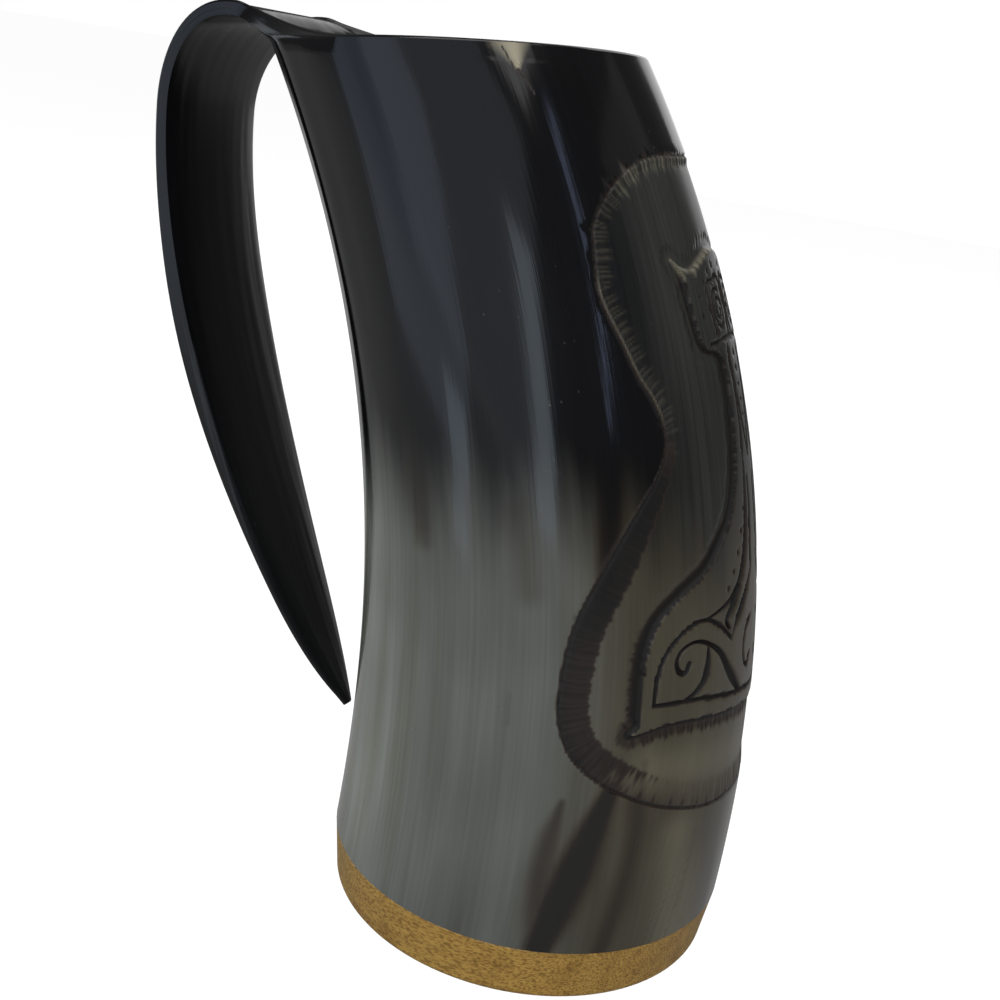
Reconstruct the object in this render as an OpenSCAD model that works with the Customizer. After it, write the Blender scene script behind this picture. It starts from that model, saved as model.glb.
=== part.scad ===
// Horn drinking cup: a curved horn tube whose tip half is cut to a strip and bent over into a free
// ended handle, set on a turned wooden base. Millimetres, +Z up, resting on z = 0.
// The origin is the middle of the base's underside. The handle points to -X.

/* [Horn] */
// Height of the middle of the rim above the table
rim_height = 165; // [140:1:200]
// Height of the seam between the horn and the wooden base
seam_height = 11.3; // [9:0.1:16]
// Outer radius of the horn at the seam
seam_radius = 40.6; // [37:0.1:46]
// Guide radius of the horn a third of the way up
low_guide_radius = 39.9; // [37:0.1:46]
// Guide radius of the horn two thirds of the way up
high_guide_radius = 37.6; // [34:0.1:42]
// Radius of the horn at the rim, across its own axis
rim_radius = 32.1; // [28:0.1:36]
// Guide offset of the horn's centre line away from the handle, a third of the way up
low_guide_offset = 2.05; // [0:0.05:5]
// Guide offset of the horn's centre line towards the handle, two thirds of the way up
high_guide_offset = 5.7; // [0:0.1:12]
// Offset of the middle of the rim towards the handle
rim_offset = 41.7; // [30:0.1:50]
// Angle by which the rim drops towards the handle
rim_tilt = 6.3; // [0:0.1:10]
// Wall of the horn at the seam
seam_wall = 3.5; // [2.5:0.1:5]
// Wall of the horn at the rim
rim_wall = 2.4; // [1.6:0.1:3.4]
// Height of the rounded crown on the cut edge of the rim and handle
edge_crown = 0.5; // [0.1:0.05:1]
// Height of the ridge that runs down the horn from each lower corner of the handle
ridge_height = 0.7; // [0:0.05:1.5]

/* [Handle] */
// How far the top of the fold stands out behind the rim
fold_out = 4.5; // [3:0.1:8]
// How far the top of the fold rises above the back of the rim
fold_rise = 4.3; // [2:0.1:8]
// How far the handle reaches out behind the rim
handle_reach = 18.2; // [14:0.1:28]
// How far below the back of the rim the handle reaches out most
handle_drop = 14.2; // [10:0.1:24]
// Height of the free tip above the table
tip_height = 25.5; // [18:0.5:45]
// Gap between the free tip and the horn
tip_gap = 6.9; // [4:0.1:12]
// Slope of the tip from level
tip_slope = 57; // [45:1:75]
// Half width of the handle at the fold
fold_half_width = 16; // [11:0.1:18]
// Half width of the handle where it reaches out most
grip_half_width = 14.6; // [9:0.1:17]
// Half width of the blunt tip
tip_half_width = 1.3; // [0.8:0.1:2]
// Thickness of the strip at the fold
fold_thickness = 2.4; // [1.8:0.1:3.2]
// Guide thickness of the solid lower handle
solid_thickness = 8.2; // [5:0.1:11]
// Thickness of the blunt tip
tip_thickness = 1.7; // [1:0.1:2.5]
// Depth of the strip's hollow where the handle reaches out most
grip_hollow = 1.9; // [0.5:0.1:3]
// Depth of the strip's hollow as it becomes solid
low_hollow = 0.4; // [0.2:0.1:1]

/* [Wooden base] */
// How much narrower the base's foot is than the seam, all round
foot_inset = 1.2; // [0:0.1:3]
// Radius of the rounded lower edge
foot_edge = 1.6; // [0.5:0.1:3]
// Height of the spigot that stands up inside the horn
spigot_height = 7; // [4:0.5:12]

/* [Glue and seal] */
// Thickness of the glue round the spigot
glue_gap = 0.2; // [0.1:0.05:0.4]
// Thickness of the seal over the top of the spigot
seal_thickness = 1; // [0.6:0.1:2]
// Radius of the seal's fillet against the horn
seal_fillet = 2.4; // [1:0.1:4]

/* [Hidden] */

// The horn is 72 columns round; the first 33 of them carry on past the rim as the handle
columns = 72;
column_step = 360/columns;
handle_columns = 33;
edge_angle = 80;
ridge_angle = 50;
ridge_spread = 6;
outer_rows = 18;
inner_rows = 11;
fold_rows = 7;
bend_rows = 9;
grip_rows = 21;
handle_rows = fold_rows + bend_rows + grip_rows;
round_facets = 180;

horn_length = rim_height - seam_height;
guide_radii = [seam_radius, low_guide_radius, high_guide_radius, rim_radius];
guide_offsets = [0, low_guide_offset, -high_guide_offset, -rim_offset];

// Lengths of the path's tangents, as shares of the straight line between its ends
fold_shares = [0.39, 0.40];
bend_shares = [0.42, 0.41];
grip_shares = [0.31, 0.22];
// How fast the rim's oval closes to the strip, and how late the handle tapers
fold_power_share = 2.85;
taper_power_share = 3.45;
// The stretch of the lower handle over which the strip becomes solid
solid_start_share = 0.25;
solid_length_share = 0.5;
// Margin of the strip's cut edge, as a share of its thickness
margin_share = 0.35;
// Share of the horn's length that gives a tangent
tangent_share = 0.005;

// The socket is faceted, so what fits it takes the radius across its flats
foot_radius = seam_radius - foot_inset;
socket_radius = seam_radius - seam_wall;
socket_flat_radius = socket_radius*cos(column_step/2);
spigot_radius = socket_flat_radius - glue_gap;
spigot_top = seam_height + spigot_height;
socket_depth = spigot_height + seal_thickness + seal_fillet;

function bezier(guides, t) = len(guides) == 1 ? guides[0]
    : bezier([for (i = [0:len(guides) - 2]) guides[i]*(1 - t) + guides[i + 1]*t], t);
function differences(list) = [for (i = [0:len(list) - 2]) list[i + 1] - list[i]];
function clamp(value) = min(1, max(0, value));
function ease(value) = let (v = clamp(value)) v*v*(3 - 2*v);
function mix(a, b, share) = a*(1 - share) + b*share;
function polar(angle) = [cos(angle), sin(angle)];
function unit(v) = v/norm(v);

// The horn along its length: share 0 is the seam, share 1 the rim
function centre_x(t) = bezier(guide_offsets, t);
function horn_radius(t) = bezier(guide_radii, t);
function cut_tilt(t) = rim_tilt*t;
function centre_lean(t) = atan(3*bezier(differences(guide_offsets), t)/horn_length);
function oval_stretch(t) = 1/cos(centre_lean(t) + cut_tilt(t));
function wall(t) = mix(seam_wall, rim_wall, t);
// Ridges fade out towards the seam; the angle is measured from the back of the horn
function ridge(t, angle) = let (off = (abs(angle) - ridge_angle)/ridge_spread)
    ridge_height*ease((t - 1/3)*2)*exp(-off*off);

// Point of a section, from its radius and its angle from the back
function section_point(t, radius, angle) = let (along = radius*oval_stretch(t)*cos(angle), tilt = cut_tilt(t))
    [centre_x(t) - along*cos(tilt), radius*sin(angle), seam_height + horn_length*t - along*sin(tilt)];
function outer_point(t, angle) = section_point(t, horn_radius(t) + ridge(t, angle), angle);
function inner_point(t, angle) = section_point(t, horn_radius(t) - wall(t), angle);
function socket_point(z, angle) = [-socket_radius*cos(angle), socket_radius*sin(angle), z];
function flat_xz(p) = [p[0], p[2]];
function back_point(t) = flat_xz(section_point(t, horn_radius(t), 0));

function column_angle(c) = -edge_angle + column_step*c;
all_columns = [0:columns - 1];
socket_share = socket_depth/horn_length;
outer_grid = [for (r = [0:outer_rows]) for (c = all_columns) outer_point(r/outer_rows, column_angle(c))];
inner_grid = [
    for (z = [seam_height, seam_height + socket_depth]) for (c = all_columns) socket_point(z, column_angle(c)),
    for (r = [1:inner_rows]) for (c = all_columns)
        inner_point(mix(socket_share, 1, r/inner_rows), column_angle(c))
];

// The strip has a near side, towards the cup, and a far side. This is the path of its near side, in
// the plane of the horn's bend, as three curves end to end.
root = back_point(1);
root_direction = unit(root - back_point(1 - tangent_share));
crest = root + [-fold_out, fold_rise];
reach = root + [-handle_reach, -handle_drop];
tip_share = (tip_height - seam_height)/horn_length;
tip = [back_point(tip_share)[0] - tip_gap, tip_height];
function path_curve(a, a_dir, a_share, b, b_dir, b_share) = let (span = norm(b - a))
    [a, a + a_dir*a_share*span, b - b_dir*b_share*span, b];
paths = [
    path_curve(root, root_direction, fold_shares[0], crest, [-1, 0], fold_shares[1]),
    path_curve(crest, [-1, 0], bend_shares[0], reach, [0, -1], bend_shares[1]),
    path_curve(reach, [0, -1], grip_shares[0], tip, polar(-tip_slope), grip_shares[1])
];

// Direction through the strip, from the near side to the far one: square to the path past the fold,
// and turning from the rim's own plane to that along the fold
function square_angle(path, t) = let (d = bezier(differences(path), t), a = atan2(-d[0], d[1]))
    a < 0 ? a + 360 : a;
function through_angle(leg, t) = leg == 0 ? mix(rim_tilt, 90, t*t) : square_angle(paths[leg], t);

// Sizes of the strip at share t of a leg: half width, hollow, thickness, how round, how much rim
function strip_sizes(leg, t) =
    leg == 0 ? [fold_half_width, 0, fold_thickness, 0, pow(1 - t, fold_power_share)]
    : leg == 1 ? [mix(fold_half_width, grip_half_width, ease(t)), grip_hollow*ease(t), fold_thickness, 0, 0]
    : let (width = mix(grip_half_width, tip_half_width, pow(t, taper_power_share)), slim = width/grip_half_width)
        [width, mix(grip_hollow, low_hollow, t)*slim*slim,
         bezier([fold_thickness, fold_thickness, solid_thickness, tip_thickness], t),
         ease((t - solid_start_share)/solid_length_share), 0];

// Each place on a section is [across, depth from the near side]. The columns inside the ridges make
// the near side, and the ones outside them the strip's edge.
function side_share(angle) = clamp((abs(angle) - ridge_angle)/(edge_angle - ridge_angle));
function flat_near(s, angle) = let (across = s[0]*max(-1, min(1, sin(angle)/sin(ridge_angle))))
    [across, s[1]*pow(across/s[0], 2) + s[2]*side_share(angle)];
function flat_far(s, angle) = let (across = (s[0] - margin_share*s[2])*sin(angle)/sin(edge_angle))
    [across, s[1]*pow(across/s[0], 2) + s[2]];
side_turn = 25;
edge_turn = 12;
function round_place(s, turn, angle) = let (across = s[0]*cos(turn)*sign(angle))
    [across, s[2]/2*(1 + sin(turn)) + s[1]*pow(across/s[0], 2)*(1 - s[3])];
function near_turn(angle) = mix(mix(-90, -side_turn, clamp(abs(angle)/ridge_angle)), side_turn - edge_turn,
    side_share(angle));
function far_turn(angle) = mix(90, side_turn + edge_turn, abs(angle)/edge_angle);
function rim_place(radius, angle) = let (stretch = oval_stretch(1))
    [radius*sin(angle), horn_radius(1)*stretch - radius*stretch*cos(angle)];

function strip_point(leg, t, place) = let (at = bezier(paths[leg], t), d = polar(through_angle(leg, t)))
    [at[0] + d[0]*place[1], place[0], at[1] + d[1]*place[1]];
function near_point(leg, t, angle) = let (s = strip_sizes(leg, t))
    strip_point(leg, t, mix(mix(flat_near(s, angle), round_place(s, near_turn(angle), angle), s[3]),
        rim_place(horn_radius(1) + ridge(1, angle), angle), s[4]));
function far_point(leg, t, angle) = let (s = strip_sizes(leg, t))
    strip_point(leg, t, mix(mix(flat_far(s, angle), round_place(s, far_turn(angle), angle), s[3]),
        rim_place(horn_radius(1) - wall(1), angle), s[4]));

strip_steps = [
    for (r = [1:fold_rows]) [0, r/fold_rows],
    for (r = [1:bend_rows]) [1, r/bend_rows],
    for (r = [1:grip_rows]) [2, r/grip_rows]
];
strip_columns = [0:handle_columns - 1];
near_grid = [for (s = strip_steps) for (c = strip_columns) near_point(s[0], s[1], column_angle(c))];
far_grid = [for (s = strip_steps) for (c = strip_columns) far_point(s[0], s[1], column_angle(c))];

// Places of the points in one list
inner_start = len(outer_grid);
near_start = inner_start + len(inner_grid);
far_start = near_start + len(near_grid);
crown_start = far_start + len(far_grid);
function outer_at(r, c) = r*columns + c%columns;
function inner_at(r, c) = inner_start + r*columns + c%columns;
function near_at(r, c) = r == 0 ? outer_at(outer_rows, c) : near_start + (r - 1)*handle_columns + c;
function far_at(r, c) = r == 0 ? inner_at(inner_rows + 1, c) : far_start + (r - 1)*handle_columns + c;

// The cut edge is one loop: round the open rim, down one side of the handle, across its tip and back.
// Each place on it is [outer point, inner point, direction of its crown].
last_column = handle_columns - 1;
function side_crown(r) = let (s = strip_steps[r - 1], a = s[0] == 0 ? mix(90 + rim_tilt, 90, s[1])
    : through_angle(s[0], s[1])) polar(a)*(1 - strip_sizes(s[0], s[1])[3]);
rim_crown = polar(90 + rim_tilt);
tip_crown = polar(-tip_slope);
cut_loop = [
    for (c = [last_column:columns]) [outer_at(outer_rows, c), far_at(0, c), rim_crown],
    for (r = [1:handle_rows - 1]) [near_at(r, 0), far_at(r, 0), side_crown(r)],
    for (c = strip_columns) [near_at(handle_rows, c), far_at(handle_rows, c), tip_crown],
    for (r = [handle_rows - 1:-1:1]) [near_at(r, last_column), far_at(r, last_column), side_crown(r)]
];
wall_points = concat(outer_grid, inner_grid, near_grid, far_grid);
crown_points = [for (p = cut_loop) (wall_points[p[0]] + wall_points[p[1]])/2
    + edge_crown*[p[2][0], 0, p[2][1]]];

function quad(a, b, c, d) = [[a, b, c], [a, c, d]];
loop_steps = [0:len(cut_loop) - 1];
function loop_next(i) = (i + 1)%len(cut_loop);
horn_faces = [
    for (r = [0:outer_rows - 1]) for (c = all_columns)
        each quad(outer_at(r, c), outer_at(r, c + 1), outer_at(r + 1, c + 1), outer_at(r + 1, c)),
    for (r = [0:inner_rows]) for (c = all_columns)
        each quad(inner_at(r, c), inner_at(r + 1, c), inner_at(r + 1, c + 1), inner_at(r, c + 1)),
    for (c = all_columns)
        each quad(outer_at(0, c), inner_at(0, c), inner_at(0, c + 1), outer_at(0, c + 1)),
    for (r = [0:handle_rows - 1]) for (c = [0:handle_columns - 2])
        each quad(near_at(r, c), near_at(r, c + 1), near_at(r + 1, c + 1), near_at(r + 1, c)),
    for (r = [0:handle_rows - 1]) for (c = [0:handle_columns - 2])
        each quad(far_at(r, c), far_at(r + 1, c), far_at(r + 1, c + 1), far_at(r, c + 1)),
    for (i = loop_steps)
        each quad(cut_loop[i][0], cut_loop[loop_next(i)][0], crown_start + loop_next(i), crown_start + i),
    for (i = loop_steps)
        each quad(crown_start + i, crown_start + loop_next(i), cut_loop[loop_next(i)][1], cut_loop[i][1])
];

// One piece of horn: the cup's wall and, in one with it, the bent handle
module horn() {
    color("#2b2c2e")
        polyhedron(points = concat(wall_points, crown_points), faces = horn_faces, convexity = 6);
}

// Turned disc with a spigot that stands up inside the horn
module wooden_base() {
    edge_steps = 8;
    edge = [for (i = [0:edge_steps]) let (a = -90 + 90*i/edge_steps)
        [foot_radius - foot_edge + foot_edge*cos(a), foot_edge + foot_edge*sin(a)]];
    color("#b98a4a")
        rotate_extrude($fn = round_facets)
            polygon(concat([[0, 0]], edge, [
                [seam_radius, seam_height],
                [spigot_radius, seam_height],
                [spigot_radius, spigot_top],
                [0, spigot_top]
            ]));
}

// Ring of set glue between the spigot and the horn
module glue_joint() {
    color("#c9b27a")
        rotate_extrude($fn = round_facets)
            translate([spigot_radius, seam_height])
                square([glue_gap, spigot_height]);
}

// Clear resin that closes the floor and runs up to the horn in a fillet
module floor_seal() {
    fillet_steps = 8;
    seal_top = spigot_top + seal_thickness;
    fillet = [for (i = [0:fillet_steps]) let (a = 90*i/fillet_steps)
        [socket_flat_radius - seal_fillet*(1 - cos(a)), seal_top + seal_fillet*(1 - sin(a))]];
    color("#c9a063")
        rotate_extrude($fn = round_facets)
            polygon(concat([[0, spigot_top], [socket_flat_radius, spigot_top]], fillet, [[0, seal_top]]));
}

horn();
wooden_base();
glue_joint();
floor_seal();
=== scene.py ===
"""Looks of a horn drinking cup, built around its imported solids.

The cup is one curved horn. Its wide end stands glued on a turned wooden base, and past its mouth
the strip of wall on the outside of the bend is folded over and runs down as a handle. Sizes are in
millimetres in the shape classes and turned to metres where a mesh is placed.
"""

import logging
import math
from collections.abc import Callable, Sequence
from dataclasses import dataclass, field
from enum import IntEnum, StrEnum

import bmesh
import bpy
import numpy as np
from mathutils import Matrix, Vector

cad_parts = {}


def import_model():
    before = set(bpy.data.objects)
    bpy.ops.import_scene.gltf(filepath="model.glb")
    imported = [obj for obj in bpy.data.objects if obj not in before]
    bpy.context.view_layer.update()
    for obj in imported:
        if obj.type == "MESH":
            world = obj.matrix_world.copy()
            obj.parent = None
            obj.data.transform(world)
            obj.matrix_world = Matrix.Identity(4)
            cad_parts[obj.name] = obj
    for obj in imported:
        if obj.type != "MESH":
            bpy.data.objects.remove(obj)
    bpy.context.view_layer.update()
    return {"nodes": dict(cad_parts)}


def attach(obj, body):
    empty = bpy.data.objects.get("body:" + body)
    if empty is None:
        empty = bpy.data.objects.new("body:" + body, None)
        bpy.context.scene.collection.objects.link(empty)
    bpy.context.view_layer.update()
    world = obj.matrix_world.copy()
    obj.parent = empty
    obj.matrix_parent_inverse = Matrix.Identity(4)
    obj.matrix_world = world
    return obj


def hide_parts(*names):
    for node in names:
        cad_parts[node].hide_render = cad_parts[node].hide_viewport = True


LOG = logging.getLogger("horn_cup")
MM = 0.001
Pair = tuple[float, float]
Stops = tuple[tuple[float, str], ...]
Array = np.ndarray
Value = np.ndarray | float
Mesh = bpy.types.Mesh
Vert = bmesh.types.BMVert
Socket = bpy.types.NodeSocket


class Sheet(IntEnum):
    """The two skins of the horn's wall, and the cut edge between them."""

    OUTER = 0
    INNER = 1
    EDGE = 2


class Attribute(StrEnum):
    """Names of the values that the horn's mesh carries for each of its points."""

    COLUMN = "column"
    TURN = "turn"
    ROW = "row"
    SHEET = "sheet"
    GRAIN = "grain"
    # Burnt carving and cracks, and painted shadow beside the hammer's walls.
    BURN_AND_SHADE = "burn_and_shade"
    # Pale horn and chisel marks, and a painted highlight along the hammer's top edge.
    PALE = "pale"
    CUT = "cut"
    STAIN = "stain"
    ALONG = "along"


def bezier(guides: Sequence[float], t: Value) -> Value:
    """Value of a Bezier curve.

    Args:
        guides: The curve's guide values, from its start to its end.
        t: Share of the way along the curve.

    Returns:
        The curve's value at each t.
    """
    values = list(guides)
    while len(values) > 1:
        values = [between(a, b, t) for a, b in zip(values, values[1:])]
    return values[0]


def between(a: Value, b: Value, share: Value) -> Value:
    """Value that is a at share 0 and b at share 1."""
    return a * (1 - share) + b * share


def ease(value: Value) -> Array:
    """Smooth step from 0 to 1 as value goes from 0 to 1."""
    v = np.clip(value, 0.0, 1.0)
    return v * v * (3 - 2 * v)


def fade(value: Value, ends: Pair) -> Array:
    """Smooth step from 0 to 1 as value goes from the first end to the second."""
    return ease((value - ends[0]) / (ends[1] - ends[0]))


def nearness(gap: Array, reach: Value) -> Array:
    """Falls evenly from 1 at no distance to 0 at the reach."""
    return np.clip(1 - gap / reach, 0, 1)


def hump(gap: Array, reach: float) -> Array:
    """Falls softly from 1 at no distance to nearly 0 past the reach."""
    return np.exp(-((gap / reach) ** 2))


def waves(along: Array, *parts: tuple[float, float, float]) -> Array:
    """Sum of waves, each given by its height, its rate and its start."""
    return sum(size * np.sin(along * rate + start) for size, rate, start in parts)


def deselect_all() -> None:
    """Clears the selection, and leaves edit mode where it is on."""
    if bpy.context.object is not None and bpy.context.object.mode != "OBJECT":
        bpy.ops.object.mode_set(mode="OBJECT")
    bpy.ops.object.select_all(action="DESELECT")


def close_mesh(merge_gap: float) -> None:
    """Joins points that meet, turns the faces outwards and leaves edit mode."""
    bpy.ops.mesh.select_all(action="SELECT")
    bpy.ops.mesh.remove_doubles(threshold=merge_gap)
    bpy.ops.mesh.normals_make_consistent(inside=False)
    bpy.ops.object.mode_set(mode="OBJECT")


@dataclass(frozen=True)
class HornShape:
    """The horn along its bend: share 0 is the seam with the base, share 1 the rim."""

    seam_height: float = 11.3
    rim_height: float = 165.0
    radii: tuple[float, ...] = (40.6, 39.9, 37.6, 32.1)
    offsets: tuple[float, ...] = (0.0, 2.05, -5.7, -41.7)
    rim_tilt: float = math.radians(6.3)
    seam_wall: float = 3.5
    rim_wall: float = 2.4
    socket_depth: float = 10.4
    ridge_height: float = 0.7
    ridge_angle: float = 50.0
    ridge_spread: float = 6.0
    ridge_ends: Pair = (1 / 3, 5 / 6)

    @property
    def length(self) -> float:
        """Height from the seam to the middle of the rim."""
        return self.rim_height - self.seam_height

    def stretch(self, t: Array) -> Array:
        """How much longer than round each level section is, because it cuts the horn at a slant."""
        steps = [b - a for a, b in zip(self.offsets, self.offsets[1:])]
        lean = np.arctan(3 * bezier(steps, t) / self.length)
        return 1 / np.cos(lean + self.rim_tilt * t)

    def wall(self, t: Array) -> Array:
        """Thickness of the wall at each share."""
        return self.seam_wall + (self.rim_wall - self.seam_wall) * t

    def ridge(self, t: Array, turn: Array) -> Array:
        """Height of the two soft ridges that run down from the handle's lower corners."""
        beside = hump(np.abs(turn) - self.ridge_angle, self.ridge_spread)
        return self.ridge_height * fade(t, self.ridge_ends) * beside

    def place(self, t: Array, turn: Array, radius: Array) -> Array:
        """Points of the horn.

        Args:
            t: Share of the way from the seam to the rim.
            turn: Angle round the horn from the back, where the handle is, in degrees.
            radius: Distance from the centre line, across the horn's own axis.

        Returns:
            An array of points, one row each.
        """
        tilt = self.rim_tilt * t
        angle = np.radians(turn)
        along = radius * self.stretch(t) * np.cos(angle)
        return np.stack(
            [
                bezier(self.offsets, t) - along * np.cos(tilt),
                radius * np.sin(angle),
                self.seam_height + self.length * t - along * np.sin(tilt),
            ],
            axis=-1,
        )

    def outer(self, t: Array, turn: Array, depth: Value = 0.0) -> Array:
        """Points of the outer skin, cut back by depth."""
        return self.place(t, turn, bezier(self.radii, t) + self.ridge(t, turn) - depth)

    def inner(self, t: Array, turn: Array) -> Array:
        """Points of the inner skin, which is a straight round socket at its lower end."""
        share = self.socket_depth / self.length
        socket = self.radii[0] - self.seam_wall
        inside = np.asarray(t) <= share + 1e-6
        body = self.place(t, turn, bezier(self.radii, t) - self.wall(t))
        angle = np.radians(turn)
        bore = np.stack(
            [-socket * np.cos(angle), socket * np.sin(angle), self.seam_height + self.length * t], axis=-1
        )
        return np.where(inside[..., None], bore, body)


@dataclass(frozen=True)
class HandleShape:
    """The strip that carries on from the back of the rim, along three curves end to end."""

    horn: HornShape = field(default_factory=HornShape)
    edge_angle: float = 80.0
    fold_out: float = 4.5
    fold_rise: float = 4.3
    reach_out: float = 18.2
    reach_drop: float = 14.2
    tip_height: float = 25.5
    tip_gap: float = 6.9
    tip_slope: float = math.radians(57.0)
    pulls: tuple[Pair, ...] = ((0.39, 0.40), (0.42, 0.41), (0.31, 0.22))
    fold_half_width: float = 16.0
    grip_half_width: float = 14.6
    tip_half_width: float = 1.3
    taper_power: float = 3.45
    fold_thickness: float = 2.4
    solid_thickness: float = 8.2
    tip_thickness: float = 1.7
    rounding: Pair = (0.25, 0.75)
    grip_hollow: float = 1.9
    low_hollow: float = 0.4
    margin: float = 0.35
    side_turn: float = 25.0
    edge_turn: float = 12.0
    spread_power: float = 2.85
    rise_power: float = 2.5

    def back_point(self, t: float) -> Array:
        """Point of the horn's back in the plane of its bend."""
        share = np.array([t])
        return self.horn.place(share, np.zeros(1), bezier(self.horn.radii, share))[0][[0, 2]]

    def paths(self) -> list[list[Array]]:
        """Guide points of the three curves of the strip's near side."""
        root = self.back_point(1.0)
        up = root - self.back_point(0.995)
        crest = root + np.array([-self.fold_out, self.fold_rise])
        reach = root + np.array([-self.reach_out, -self.reach_drop])
        tip_share = (self.tip_height - self.horn.seam_height) / self.horn.length
        tip = np.array([self.back_point(tip_share)[0] - self.tip_gap, self.tip_height])
        to_tip = np.array([math.cos(self.tip_slope), -math.sin(self.tip_slope)])
        stops = (root, crest, reach, tip)
        ways = (up / np.linalg.norm(up), np.array([-1.0, 0.0]), np.array([0.0, -1.0]), to_tip)
        curves = []
        for leg, (first, last) in enumerate(self.pulls):
            a, b = stops[leg : leg + 2]
            span = np.linalg.norm(b - a)
            curves.append([a, a + ways[leg] * first * span, b - ways[leg + 1] * last * span, b])
        return curves

    def through(self, leg: int, t: float) -> Array:
        """Direction from the strip's near side to its far side, in the plane of the bend."""
        if leg == 0:
            angle = between(self.horn.rim_tilt, math.pi / 2, t**self.rise_power)
            return np.array([math.cos(angle), math.sin(angle)])
        guides = self.paths()[leg]
        along = bezier([b - a for a, b in zip(guides, guides[1:])], t)
        across = np.array([along[1], -along[0]])
        return across / np.linalg.norm(across)

    def sizes(self, leg: int, t: float) -> tuple[float, float, float, float, float]:
        """Half width, hollow, thickness, how round and how much rim the strip is at a place."""
        if leg == 0:
            return self.fold_half_width, 0.0, self.fold_thickness, 0.0, (1 - t) ** self.spread_power
        if leg == 1:
            share = float(ease(t))
            width = between(self.fold_half_width, self.grip_half_width, share)
            return width, self.grip_hollow * share, self.fold_thickness, 0.0, 0.0
        width = between(self.grip_half_width, self.tip_half_width, t**self.taper_power)
        hollow = between(self.grip_hollow, self.low_hollow, t) * (width / self.grip_half_width) ** 2
        guides = [self.fold_thickness, self.fold_thickness, self.solid_thickness, self.tip_thickness]
        return width, hollow, bezier(guides, t), float(fade(t, self.rounding)), 0.0

    def section(self, leg: int, t: float, turn: Array, far: bool) -> Array:
        """Points across one side of the strip.

        Args:
            leg: Which of the three curves the section is on.
            t: Share of the way along that curve.
            turn: Column angles, in degrees, from minus to plus the edge angle.
            far: Whether the side is the far one, away from the cup.

        Returns:
            An array of points, one row each.
        """
        half, hollow, thick, round_share, rim_share = self.sizes(leg, t)
        ridge, size, sine = self.horn.ridge_angle, np.abs(turn), np.sin(np.radians(turn))
        side = np.clip((size - ridge) / (self.edge_angle - ridge), 0, 1)
        if far:
            across = (half - self.margin * thick) * sine / math.sin(math.radians(self.edge_angle))
            rise = thick
            angle = between(90, self.side_turn + self.edge_turn, size / self.edge_angle)
            radius = self.horn.radii[-1] - self.horn.rim_wall
        else:
            across = half * np.clip(sine / math.sin(math.radians(ridge)), -1, 1)
            rise = thick * side
            inside = between(-90, -self.side_turn, np.clip(size / ridge, 0, 1))
            angle = between(inside, self.side_turn - self.edge_turn, side)
            radius = self.horn.radii[-1] + self.horn.ridge(np.ones(1), turn)
        angle = np.radians(angle)
        flat = [across, hollow * (across / half) ** 2 + rise]
        out = half * np.cos(angle) * np.sign(turn)
        rounded = [out, thick / 2 * (1 + np.sin(angle)) + hollow * (out / half) ** 2 * (1 - round_share)]
        stretch = float(self.horn.stretch(np.ones(1))[0])
        rim = [radius * sine, stretch * (self.horn.radii[-1] - radius * np.cos(np.radians(turn)))]
        y, depth = (between(between(f, r, round_share), m, rim_share) for f, r, m in zip(flat, rounded, rim))
        at, way = bezier(self.paths()[leg], t), self.through(leg, t)
        return np.stack([at[0] + way[0] * depth, y, at[1] + way[1] * depth], axis=-1)


@dataclass(frozen=True)
class Stroke:
    """A line on the horn's outer skin: a carved line of the ornament, or a streak that grew there.

    Each point is its angle out from the ornament's middle, in degrees, and its height on the horn,
    in millimetres. The widths run from the line's start to its end. The amount is a carved line's
    depth, or a streak's strength. Carved lines are given for one half and mirrored.
    """

    points: tuple[Pair, ...]
    widths: tuple[float, ...] = (0.75,)
    amount: float = 0.42


BORDER = (
    (0.0, 149.8), (12.0, 149.8), (21.5, 149.4), (30.0, 148.1), (38.5, 145.2), (44.8, 141.9), (49.3, 138.4),
    (51.0, 133.9), (52.4, 129.0), (51.4, 125.4), (48.7, 120.9), (45.7, 115.7), (42.4, 112.2), (40.3, 108.6),
    (39.9, 104.6), (42.8, 100.1), (51.9, 92.0), (61.0, 82.6), (67.7, 73.6), (70.6, 63.7), (70.4, 56.9),
    (66.3, 50.6), (57.2, 45.7), (44.6, 41.8), (33.7, 39.7), (19.9, 38.0), (0.0, 37.4),
)

HAMMER_SMOOTH_SIDE = (
    (8.6, 113.5), (9.1, 107.3), (10.4, 101.6), (12.4, 96.3), (16.8, 90.6), (20.8, 87.7), (27.4, 83.2),
    (36.4, 79.5), (43.7, 75.6), (47.1, 71.4), (48.6, 66.1), (48.8, 59.8), (49.0, 56.3),
)
HAMMER_TOP = ((0.0, 134.9), (4.0, 134.7), (11.9, 133.1), (18.0, 131.7), (22.6, 132.2), (25.3, 133.4))
HAMMER_CAP_SIDE = ((22.4, 130.9), (21.1, 123.0), (19.0, 119.6), (13.2, 118.7), (9.4, 117.2))
HAMMER_BOTTOM = ((51.4, 54.8), (38.3, 56.7), (20.0, 56.1), (0.0, 54.6))

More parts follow.
